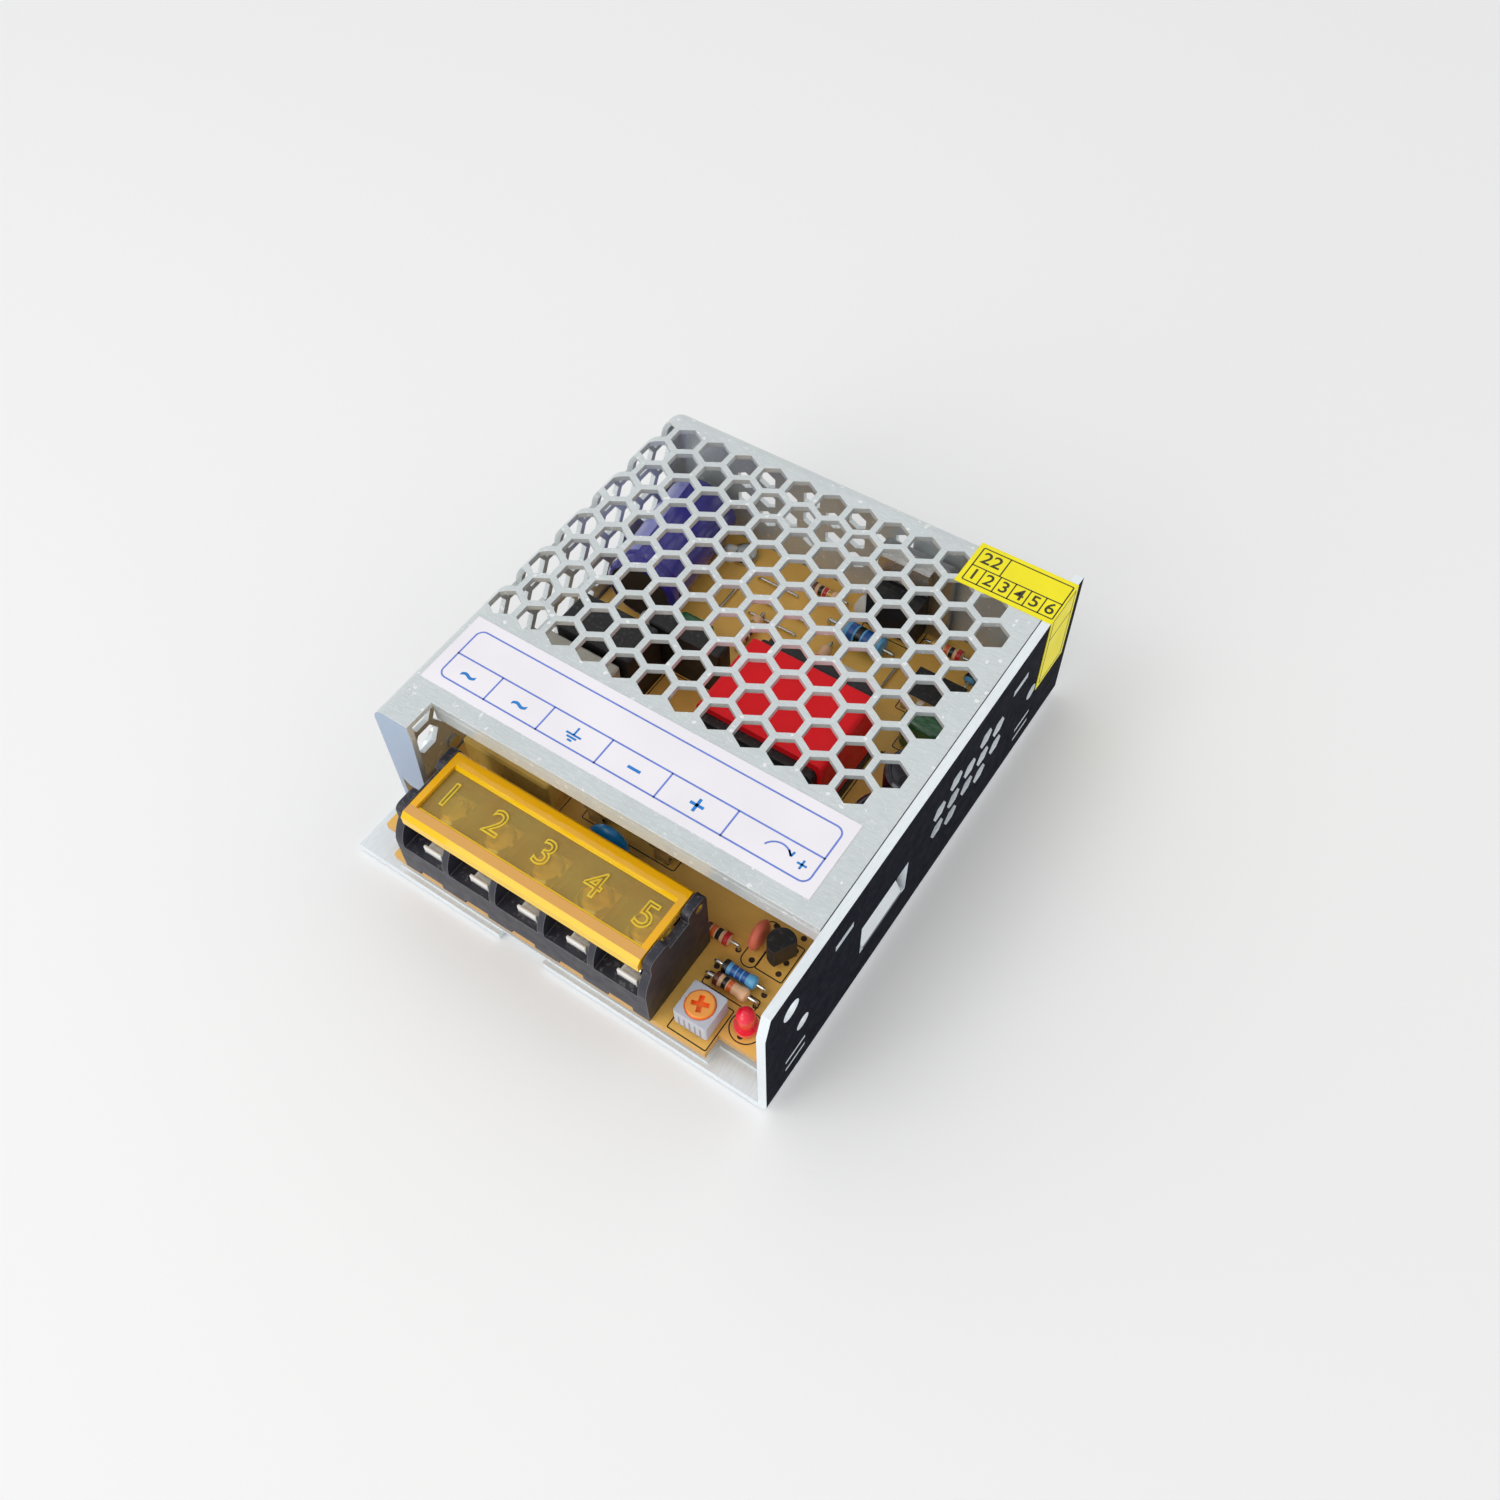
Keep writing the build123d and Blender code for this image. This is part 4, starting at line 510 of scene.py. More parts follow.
@dataclass(frozen=True)
class ZonedFinish(Finish):
    """Finish that gives way to another beyond two places along an axis, as at legs, tabs or a slot."""

    axis: str = "Z"
    below_mm: float = -1000.0
    above_mm: float = 1000.0
    step_mm: float = 0.02
    zone_colour: Colour = (0.64, 0.63, 0.60)
    zone_metallic: float = 1.0
    zone_roughness: float = 0.3

    def zone(self, graph: Graph) -> Socket:
        """Give 1 beyond either place and 0 between them."""
        low = graph.past(self.axis, self.below_mm + self.step_mm, -self.step_mm)
        return graph.calc("MAXIMUM", low, graph.past(self.axis, self.above_mm, self.step_mm))

    def coloured(self, graph: Graph) -> Socket:
        """Wire the colour of both zones."""
        other = graph.blend(graph.clouds(1.5, 0.35, 0.65), self.zone_colour, shaded(self.zone_colour, 1.12))
        return graph.blend(self.zone(graph), super().coloured(graph), other)

    def rough(self, graph: Graph) -> Socket:
        """Wire the roughness of both zones."""
        shift = graph.times(self.zone(graph), self.zone_roughness - self.roughness)
        return graph.calc("ADD", super().rough(graph), shift)

    def metal(self, graph: Graph) -> Socket:
        """Wire the metallic value of both zones."""
        return graph.span(self.zone(graph), 0.0, 1.0, self.metallic, self.zone_metallic)


@dataclass(frozen=True)
class LaminateFinish(Finish):
    """Paper-phenolic board: tan face with faint copper shadows, darker fibrous cut edge."""

    cut_edge: Colour = paint(170, 120, 66)

    def coloured(self, graph: Graph) -> Socket:
        """Wire the colour: cloudy tan, fibres and dark edges.

        Args:
            graph: The material under construction.

        Returns:
            The colour.
        """
        cloud = graph.clouds(9.0, 0.35, 0.65, 4.0)
        colour = graph.blend(cloud, shaded(self.colour, 1 - self.drift), self.colour)
        fibres = graph.span(graph.noise(0.5, 3.0, (6, 1, 1)), 0.5, 0.75, 0.0, 0.25)
        colour = graph.blend(fibres, colour, shaded(self.colour, 0.72))
        side = graph.times(graph.calc("SUBTRACT", 1.0, graph.facing_up()), 0.55)
        return graph.blend(side, colour, self.cut_edge)


@dataclass(frozen=True)
class ClearFinish(Finish):
    """Clear tinted moulding with faint flow marks."""

    clear: float = 1.0
    ior: float = 1.49

    def wired(self, graph: Graph) -> bpy.types.Material:
        """Wire the shader as a body that light passes through.

        Args:
            graph: The material under construction.

        Returns:
            The finished material.
        """
        graph.set(Base_Color=self.coloured(graph), Roughness=self.roughness, IOR=self.ior)
        graph.set(Transmission_Weight=self.clearness(graph))
        graph.bump(self.grain(graph), self.grain_depth)
        return graph.material

    def coloured(self, graph: Graph) -> Socket:
        """Wire the colour: flow marks through the tint."""
        return graph.blend(graph.clouds(self.drift_mm), self.colour, shaded(self.colour, 1.15, 0.03))

    def clearness(self, graph: Graph) -> object:
        """Give how much light passes, the same all over unless a finish has zones."""
        return self.clear


@dataclass(frozen=True)
class RailedFinish(ClearFinish):
    """Tinted moulding with painted light: rails painted fuller and less clear for the light they gather, a
    painted sheen and a painted glow at the lip.
    """

    # rail, sheen and lip are colours of painted light.
    rail: Colour = (1.0, 0.45, 0.01)
    sheen: Colour = (0.76, 0.40, 0.13)
    lip: Colour = (1.0, 0.62, 0.004)
    rail_clear: float = 0.08
    sheen_to_mm: float = -42.6
    front_mm: float = -44.2
    rear_mm: float = -32.0
    height_mm: float = 20.56
    step_mm: float = 0.1

    def rails(self, graph: Graph) -> Socket:
        """Give 1 in the rails and lip and 0 in the thin panel."""
        front = graph.past("Y", self.front_mm + self.step_mm, -self.step_mm)
        sides = graph.calc("MAXIMUM", front, graph.past("Y", self.rear_mm, self.step_mm))
        return graph.calc("MAXIMUM", sides, graph.past("Z", self.height_mm, self.step_mm))

    def coloured(self, graph: Graph) -> Socket:
        """Wire the colour: painted fuller in the rails, a pale painted sheen on top of the front one and a
        bright painted glow at its lip.

        Args:
            graph: The material under construction.

        Returns:
            The colour.
        """
        colour = graph.blend(self.rails(graph), super().coloured(graph), self.rail)
        # Painted sheen on top of the front rail.
        top = graph.times(graph.past("Y", self.sheen_to_mm, -self.step_mm), graph.facing("Z", 0.8, 0.95))
        colour = graph.blend(graph.times(top, 0.8), colour, self.sheen)
        # Painted glow on faces that look to the front.
        return graph.blend(graph.facing("Y", -0.3, -0.6), colour, self.lip)

    def clearness(self, graph: Graph) -> Socket:
        """Wire how much light passes: less through the rails."""
        return graph.span(self.rails(graph), 0.0, 1.0, self.clear, self.rail_clear)


def ink(name: str, colour: Colour, roughness: float = 0.45, drift: float = 0.12,
        drift_mm: float = 1.2) -> Finish:
    """Give the finish of a printed line or of a hole's painted shade, without grain or worn edges."""
    return Finish(name, colour, roughness, drift=drift, drift_mm=drift_mm, grain_depth=0.0, edge_light=0.0)


def band(name: str, colour: Colour, metallic: float = 0.0, coat: float = 0.2) -> Finish:
    """Give the finish of a resistor's colour band."""
    return Finish(name, colour, 0.3, metallic, drift=0.1, grain_depth=0.0, edge_light=0.0, coat=coat)


def legged(name: str, body: Finish, **zones: object) -> ZonedFinish:
    """Give a moulded part's finish bare metal zones at its legs and tab.

    Args:
        name: Name of the new finish.
        body: Finish of the moulding.
        zones: Places where the bare metal starts.

    Returns:
        The finish with its zones.
    """
    return ZonedFinish(name, body.colour, body.roughness, body.metallic, body.drift, body.drift_mm,
                       body.grain_mm, body.grain_depth, dust=body.dust, edge_light=body.edge_light,
                       coat=body.coat, zone_colour=TIN, **zones)


TIN = paint(214, 212, 205)
# The tray's right wall carries painted shade on its outer face.
TRAY = WallFinish("rolled_aluminium", paint(238, 245, 250), 0.36, 0.3, drift=0.06, grain_mm=0.12,
                  grain_depth=0.004, stretch=(1, 14, 1), edge_light=0.7, speck=0.12, specular=0.02)
# The cover's sheet, with a painted highlight and a painted reflection on the fold's front faces.
MESH = FoldedFinish("galvanised_sheet", paint(212, 219, 220), 0.34, 0.35, drift=0.07, grain_mm=0.16,
                    grain_depth=0.006, stretch=(9, 1, 1), edge_light=0.75, speck=0.30, fleck=0.7)
PLATE = SheetFinish("mill_aluminium", paint(198, 200, 204), 0.38, 1.0, drift=0.08, grain_mm=0.15,
                    grain_depth=0.004, stretch=(1, 1, 10), edge_light=0.5, speck=0.1)
TINNED = Finish("tinned_brass", paint(224, 222, 216), 0.28, 1.0, drift=0.08, grain_depth=0.006,
                edge_light=0.3)
NICKEL = Finish("nickel_screw", paint(206, 206, 202), 0.24, 1.0, drift=0.12, grain_depth=0.004,
                edge_light=0.4)
LEAD_WIRE = Finish("tinned_wire", paint(214, 214, 211), 0.22, 1.0, drift=0.08, grain_depth=0.002,
                   edge_light=0.0)
TAB_METAL = Finish("bright_tab", paint(250, 248, 242), 0.32, 0.1, drift=0.05, grain_depth=0.004,
                   edge_light=0.3)
CAN_TOP = Finish("aluminium_can", paint(205, 208, 212), 0.3, 1.0, drift=0.08, grain_depth=0.004,
                 edge_light=0.3)
CHOKE_COPPER = Finish("enamelled_copper", paint(176, 88, 40), 0.24, 0.7, drift=0.12, grain_depth=0.004)
CHOKE_CORE = Finish("choke_core", paint(32, 96, 60), 0.42, drift=0.15, grain_depth=0.02)
BOARD = LaminateFinish("phenolic_board", paint(255, 200, 98), 0.42, drift=0.12, grain_mm=0.3,
                       grain_depth=0.008)
FILM = Finish("insulating_film", paint(226, 232, 234), 0.3, drift=0.05, drift_mm=6.0, grain_mm=3.0,
              grain_depth=0.02)
BLACK_BLOCK = Finish("black_moulding", paint(40, 41, 53), 0.44, drift=0.22, grain_mm=0.25,
                     grain_depth=0.012, dust=0.20, edge_light=0.45, edge_mm=0.2)
# Amber cover, with painted sheen and glow on its rails and lip.
AMBER = RailedFinish("amber_moulding", paint(252, 206, 88), 0.07, drift_mm=7.0, grain_mm=4.0,
                     grain_depth=0.05, clear=0.74, rail=paint(255, 188, 16))
# Digits' yellow, fuller and less clear than the panel: partly their own colour, partly painted highlight on
# their raised outlines.
AMBER_RELIEF = ClearFinish("amber_relief", paint(255, 214, 56), 0.14, drift_mm=3.0, grain_mm=1.0,
                           grain_depth=0.02, clear=0.20)
# Painted highlight along the inner edges of the cover's rails.
AMBER_HIGHLIGHT = Finish("amber_rail_highlight", paint(255, 208, 24), 0.25, drift=0.06, drift_mm=6.0,
                    grain_depth=0.0, edge_light=0.0)
PAPER = Finish("coated_paper", paint(246, 243, 249), 0.38, drift=0.04, drift_mm=16.0, grain_mm=0.2,
               grain_depth=0.006, edge_light=0.0)
SEAL_PAPER = Finish("yellow_paper", paint(252, 238, 0), 0.5, drift=0.06, drift_mm=5.0, grain_mm=0.2,
                    grain_depth=0.006, edge_light=0.0)
BLUE_INK = ink("blue_ink", paint(112, 138, 226))
SIGN_INK = ink("sign_ink", paint(24, 130, 214))
DARK_INK = ink("dark_ink", paint(60, 58, 22), 0.5, 0.15, 1.0)
SILK = ink("black_silkscreen", paint(34, 28, 24), 0.55, 0.2, 1.0)
# Painted shade inside the lead holes.
HOLE_SHADE = ink("lead_hole_shade", paint(62, 40, 22), 0.7, 0.2, 1.0)
MOULDED = Finish("black_epoxy", paint(34, 34, 36), 0.52, drift=0.2, grain_mm=0.12, grain_depth=0.010,
                 dust=0.10, edge_light=0.15)
WHITE_MOULD = Finish("white_moulding", paint(232, 230, 222), 0.45, drift=0.08, grain_depth=0.01)
FERRITE = Finish("ferrite", paint(46, 46, 50), 0.62, drift=0.2, grain_mm=0.15, grain_depth=0.012,
                 edge_light=0.25)
RED_TAPE = Finish("red_tape", paint(255, 20, 34), 0.48, drift=0.08, drift_mm=8.0, grain_mm=2.0,
                  grain_depth=0.02, edge_light=0.10, specular=0.3)
PURPLE_SLEEVE = Finish("purple_sleeve", paint(58, 52, 148), 0.22, drift=0.12, grain_mm=2.5,
                       grain_depth=0.03, edge_light=0.10, coat=0.3)
SLEEVE_STRIPE = Finish("sleeve_stripe", paint(150, 152, 216), 0.3, drift=0.08, grain_depth=0.01,
                       edge_light=0.0)
BLACK_SLEEVE = Finish("black_sleeve", paint(28, 30, 42), 0.22, drift=0.15, grain_mm=2.0,
                      grain_depth=0.02, coat=0.4)
RUBBER_SEAL = Finish("rubber_seal", paint(44, 32, 26), 0.7, drift=0.2, grain_depth=0.02)
YELLOW_FILM = Finish("yellow_film_case", paint(255, 208, 104), 0.30, drift=0.12, grain_mm=1.5,
                     grain_depth=0.02, coat=0.3)
GREY_FILM = Finish("grey_film_case", paint(186, 183, 172), 0.40, drift=0.12, grain_depth=0.01)
GREEN_DIP = Finish("green_dip", paint(28, 98, 52), 0.18, drift=0.18, grain_mm=1.2, grain_depth=0.05,
                   coat=0.5)
BLUE_DIP = Finish("blue_dip", paint(16, 148, 226), 0.28, drift=0.12, grain_mm=1.0, grain_depth=0.04,
                  coat=0.4)
SALMON_DIP = Finish("salmon_dip", paint(246, 126, 98), 0.34, drift=0.10, grain_mm=0.9,
                    grain_depth=0.03, coat=0.1)
BLACK_DIP = Finish("black_dip", paint(34, 36, 34), 0.35, drift=0.15, grain_mm=0.9, grain_depth=0.03)
TAN_ENAMEL = Finish("tan_enamel", paint(252, 200, 152), 0.30, drift=0.08, grain_mm=0.8,
                    grain_depth=0.02, coat=0.2)
BLUE_ENAMEL = Finish("blue_enamel", paint(104, 186, 238), 0.30, drift=0.08, grain_mm=0.8,
                     grain_depth=0.02, coat=0.2)
BAND_BLACK = band("band_black", paint(24, 22, 22))
BAND_BROWN = band("band_brown", paint(112, 52, 24))
BAND_RED = band("band_red", paint(214, 34, 40))
BAND_ORANGE = band("band_orange", paint(244, 112, 46))
BAND_GOLD = band("band_gold", paint(206, 164, 84), 0.4, 0.0)
BAND_NAVY = band("band_navy", paint(34, 92, 172))
TRIM_CASE = Finish("trimmer_case", paint(198, 201, 212), 0.34, drift=0.08, grain_depth=0.01,
                   edge_light=0.7, edge_mm=0.25)
TRIM_RIB = Finish("trimmer_rib", paint(150, 154, 166), 0.4, drift=0.08, grain_depth=0.01,
                  edge_light=0.5)
WHITE_GLUE = Finish("white_sealant", paint(236, 234, 226), 0.34, drift=0.08, grain_mm=1.4,
                    grain_depth=0.08)
FUSE_GLASS = ClearFinish("fuse_glass", paint(236, 242, 240), 0.04, grain_depth=0.0)


class Shape:
    """Mesh under construction, in millimetres, whose faces may carry several finishes."""

    def __init__(self, *finishes: Finish) -> None:
        """Start empty with the finishes that faces refer to by number."""
        self.finishes = finishes
        self.bm = bmesh.new()

    def adopt(self, part: bmesh.types.BMesh, finish: int, matrix: Matrix) -> None:
        """Move a finished part into this mesh.

        Args:
            part: The part, which is freed.
            finish: Which finish its faces take.
            matrix: Where the part goes.
        """
        bmesh.ops.transform(part, matrix=matrix, verts=part.verts)
        if matrix.to_3x3().determinant() < 0:
            bmesh.ops.reverse_faces(part, faces=part.faces)
        for face in part.faces:
            face.material_index = finish
        mesh = bpy.data.meshes.new("part")
        part.to_mesh(mesh)
        part.free()
        self.bm.from_mesh(mesh)
        bpy.data.meshes.remove(mesh)

    @staticmethod
    def raised(part: bmesh.types.BMesh, height: float) -> bmesh.types.BMesh:
        """Pull a flat part's faces up into a closed plate.

        Args:
            part: The flat part.
            height: Thickness of the plate.

        Returns:
            The same part.
        """
        grown = bmesh.ops.extrude_face_region(part, geom=part.faces[:])["geom"]
        tops = [v for v in grown if isinstance(v, bmesh.types.BMVert)]
        bmesh.ops.translate(part, verts=tops, vec=(0, 0, height))
        bmesh.ops.recalc_face_normals(part, faces=part.faces)
        return part

    def turned(self, profile: Sequence[Place], finish: int = 0, matrix: Matrix = UNMOVED,
               steps: int = 40) -> None:
        """Spin a profile round Z.

        Args:
            profile: (radius, height) points from the bottom to the top.
            finish: Which finish the faces take.
            matrix: Where the shape goes.
            steps: Facets round the axis.
        """
        part = bmesh.new()
        verts = [part.verts.new((radius, 0, height)) for radius, height in profile]
        edges = [part.edges.new(pair) for pair in zip(verts, verts[1:])]
        bmesh.ops.spin(part, geom=verts + edges, cent=(0, 0, 0), axis=(0, 0, 1), angle=2 * math.pi,
                       steps=steps, use_merge=True)
        bmesh.ops.remove_doubles(part, verts=part.verts, dist=MERGE_MM)
        bmesh.ops.recalc_face_normals(part, faces=part.faces)
        self.adopt(part, finish, matrix)

    def block(self, low: Point, high: Point, finish: int = 0, bevel: float = 0.0, segments: int = 2,
              matrix: Matrix = UNMOVED) -> None:
        """Add a box with rounded edges.

        Args:
            low: Lowest corner.
            high: Highest corner.
            finish: Which finish the faces take.
            bevel: Width of the rounded edges.
            segments: Facets across a rounded edge.
            matrix: Where the box goes.
        """
        part = bmesh.new()
        size = Vector(high) - Vector(low)
        middle = (Vector(high) + Vector(low)) / 2
        place = Matrix.Translation(middle) @ Matrix.Diagonal((*size, 1))
        bmesh.ops.create_cube(part, size=1.0, matrix=place)
        if bevel:
            bmesh.ops.bevel(part, geom=part.edges, offset=bevel, offset_type="OFFSET", affect="EDGES",
                            segments=segments, profile=0.5, material=-1, clamp_overlap=True)
        self.adopt(part, finish, matrix)

    def slab(self, outline: Sequence[Place], height: float, matrix: Matrix) -> None:
        """Raise a flat outline into a plate of the first finish.

        Args:
            outline: The plate's corners, in order.
            height: Thickness of the plate.
            matrix: Where the plate goes.
        """
        part = bmesh.new()
        part.faces.new([part.verts.new((x, y, 0)) for x, y in outline])
        self.adopt(self.raised(part, height), 0, matrix)

    def rim(self, outer: Sequence[Place], inner: Sequence[Place], height: float, matrix: Matrix) -> None:
        """Raise the flat ring between two outlines of as many points, in the first finish.

        Args:
            outer: Corners of the outer outline, in order.
            inner: Corners of the inner outline, in order.
            height: Thickness of the ring.
            matrix: Where the ring goes.
        """
        part = bmesh.new()
        edges = []
        for outline in (outer, inner):
            verts = [part.verts.new((x, y, 0)) for x, y in outline]
            edges += [part.edges.new(pair) for pair in zip(verts, verts[1:] + verts[:1])]
        bmesh.ops.bridge_loops(part, edges=edges)
        self.adopt(self.raised(part, height), 0, matrix)

    def wire(self, points: Sequence[Point], radius: float, finish: int = 0, matrix: Matrix = UNMOVED,
             sides: int = 2) -> None:
        """Run a round wire through points, smoothed as a spline.

        Args:
            points: The wire's route.
            radius: The wire's radius.
            finish: Which finish the faces take.
            matrix: Where the wire goes.
            sides: Resolution of the wire's round section.
        """
        curve = bpy.data.curves.new("wire", "CURVE")
        curve.dimensions = "3D"
        spline = curve.splines.new("NURBS")
        spline.points.add(len(points) - 1)
        for target, point in zip(spline.points, points):
            target.co = (*point, 1.0)
        spline.order_u = 3
        spline.use_endpoint_u = True
        spline.resolution_u = 6
        curve.bevel_depth = radius
        curve.bevel_resolution = sides
        curve.use_fill_caps = True
        self.curve(curve, finish, matrix)

    def curve(self, curve: bpy.types.Curve, finish: int, matrix: Matrix) -> None:
        """Take in the mesh of a curve or of text.

        Args:
            curve: The curve, which is removed.
            finish: Which finish the faces take.
            matrix: Where the mesh goes.
        """
        holder = bpy.data.objects.new("holder", curve)
        bpy.context.scene.collection.objects.link(holder)
        graph = bpy.context.evaluated_depsgraph_get()
        mesh = bpy.data.meshes.new_from_object(holder.evaluated_get(graph))
        part = bmesh.new()
        part.from_mesh(mesh)
        bmesh.ops.remove_doubles(part, verts=part.verts, dist=MERGE_MM)
        bpy.data.objects.remove(holder)
        bpy.data.curves.remove(curve)
        bpy.data.meshes.remove(mesh)
        self.adopt(part, finish, matrix)

    def text(self, words: str, size: float, thickness: float, matrix: Matrix, bold: float = 0.0,
             outline: float = 0.0) -> None:
        """Add centred raised characters on the XY plane, in the first finish.

        Args:
            words: The characters.
            size: Their size.
            thickness: How far they are raised.
            matrix: Where they go.
            bold: How much their strokes are widened.
            outline: Radius of the strokes where only the outlines are raised.
        """
        font = bpy.data.curves.new("characters", "FONT")
        font.body = words
        font.size = size
        font.align_x = "CENTER"
        font.align_y = "CENTER"
        font.extrude = thickness / 2
        font.offset = bold
        font.resolution_u = 4
        if outline:
            font.fill_mode = "NONE"
            font.extrude = 0.0
            font.bevel_depth = outline
            font.bevel_resolution = 1
        self.curve(font, 0, matrix @ Matrix.Translation((0, 0, thickness / 2)))

    def made(self, name: str, body: str, slot: str, stands_for: Sequence[str] = ()) -> None:
        """Turn the shape into a piece that rides on a body.

        Args:
            name: The piece's name.
            body: The body that it rides on.
            slot: The record's material slot, not used.
            stands_for: Nodes that it replaces.
        """
        bmesh.ops.scale(self.bm, vec=(MM, MM, MM), verts=self.bm.verts)
        mesh = bpy.data.meshes.new(name)
        self.bm.to_mesh(mesh)
        self.bm.free()
        for finish in self.finishes:
            mesh.materials.append(finish.material())
        mesh.polygons.foreach_set("use_smooth", [True] * len(mesh.polygons))
        mesh.set_sharp_from_angle(angle=CREASE_ANGLE)
        piece = bpy.data.objects.new(name, mesh)
        bpy.context.scene.collection.objects.link(piece)
        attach(piece, body)
        if stands_for:
            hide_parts(*stands_for)
        LOG.info("%s: %d faces on %s", name, len(mesh.polygons), body)


def dress(node: str, finish: Finish) -> None:
    """Give a node of the frame its material.

    Args:
        node: The node's name.
        finish: The finish that it takes.
    """
    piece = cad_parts[node]
    piece.data.materials.clear()
    piece.data.materials.append(finish.material())
    LOG.info("%s: dressed in %s", node, finish.name)


def at(x: float, y: float, z: float, turn: float = 0.0) -> Matrix:
    """Matrix that turns about Z by degrees and then moves to a place."""
    return Matrix.Translation((x, y, z)) @ Matrix.Rotation(math.radians(turn), 4, "Z")


def spun(degrees: float) -> Matrix:
    """Matrix that turns about Z by degrees."""
    return Matrix.Rotation(math.radians(degrees), 4, "Z")


def arc_points(centre: Place, radius: float, start: float, end: float, steps: int) -> list[Place]:
    """Points along a circular arc.

    Args:
        centre: The arc's centre.
        radius: The arc's radius.
        start: First angle in degrees.
        end: Last angle in degrees.
        steps: Number of steps between the points.

    Returns:
        One point more than there are steps.
    """
    angles = [math.radians(start + (end - start) * step / steps) for step in range(steps + 1)]
    return [(centre[0] + radius * math.cos(a), centre[1] + radius * math.sin(a)) for a in angles]


def rounded(low: Place, high: Place, radius: float, steps: int = 6) -> list[Place]:
    """Outline of a rectangle with round corners, anticlockwise.

    Args:
        low: Corner with the lowest values.
        high: Corner with the highest values.
        radius: Radius of the round corners.
        steps: Number of steps round a corner.

    Returns:
        The outline's points.
    """
    left, front = low[0] + radius, low[1] + radius
    right, rear = high[0] - radius, high[1] - radius
    points = []
    for index, centre in enumerate(((right, rear), (left, rear), (left, front), (right, front))):
        points += arc_points(centre, radius, 90 * index, 90 * index + 90, steps)
    return points


@dataclass
class Print:
    """Ink lines and characters on a flat sheet, built in the sheet's own plane."""

    ink: Finish
    plane: Matrix
    line: float = 0.28
    thickness: float = 0.02
    shape: Shape = field(init=False)

    def __post_init__(self) -> None:
        """Start the ink's shape."""
        self.shape = Shape(self.ink)

    def box(self, low: Place, high: Place, radius: float) -> None:
        """Draw a closed rounded frame.

        Args:
            low: Corner with the lowest values.
            high: Corner with the highest values.
            radius: Inner radius of its corners.
        """
        inner_low = (low[0] + self.line, low[1] + self.line)
        inner_high = (high[0] - self.line, high[1] - self.line)
        outer = rounded(low, high, radius + self.line)
        self.shape.rim(outer, rounded(inner_low, inner_high, radius), self.thickness, self.plane)

    def stroke(self, start: Place, end: Place, width: float | None = None) -> None:
        """Draw a straight line.

        Args:
            start: Where it starts.
            end: Where it ends.
            width: Its width, or the print's own where none is given.
        """
        along = Vector((end[0] - start[0], end[1] - start[1]))
        half = Vector((-along.y, along.x)).normalized() * ((width or self.line) / 2)
        outline = [(x + side * half.x, y + side * half.y)
                   for (x, y), side in ((start, -1), (end, -1), (end, 1), (start, 1))]
        self.shape.slab(outline, self.thickness, self.plane)

    def plus(self, place: Place, half: float, width: float | None = None) -> None:
        """Draw two crossed lines.

        Args:
            place: Where they cross.
            half: How far each line reaches.
            width: Width of the lines, or the print's own where none is given.
        """
        x, y = place
        self.stroke((x - half, y), (x + half, y), width)
        self.stroke((x, y - half), (x, y + half), width)

    def arc(self, centre: Place, radius: float, start: float, end: float, steps: int = 10) -> None:
        """Draw a circular line.

        Args:
            centre: The arc's centre.
            radius: The arc's radius.
            start: First angle in degrees.
            end: Last angle in degrees.
            steps: Number of straight lines in it.
        """
        points = arc_points(centre, radius, start, end, steps)
        for first, second in zip(points, points[1:]):
            self.stroke(first, second)

    def mark(self, words: str, place: Place, size: float, bold: float = 0.04) -> None:
        """Set plain characters centred on a place."""
        self.shape.text(words, size, self.thickness, self.plane @ Matrix.Translation((*place, 0)), bold)


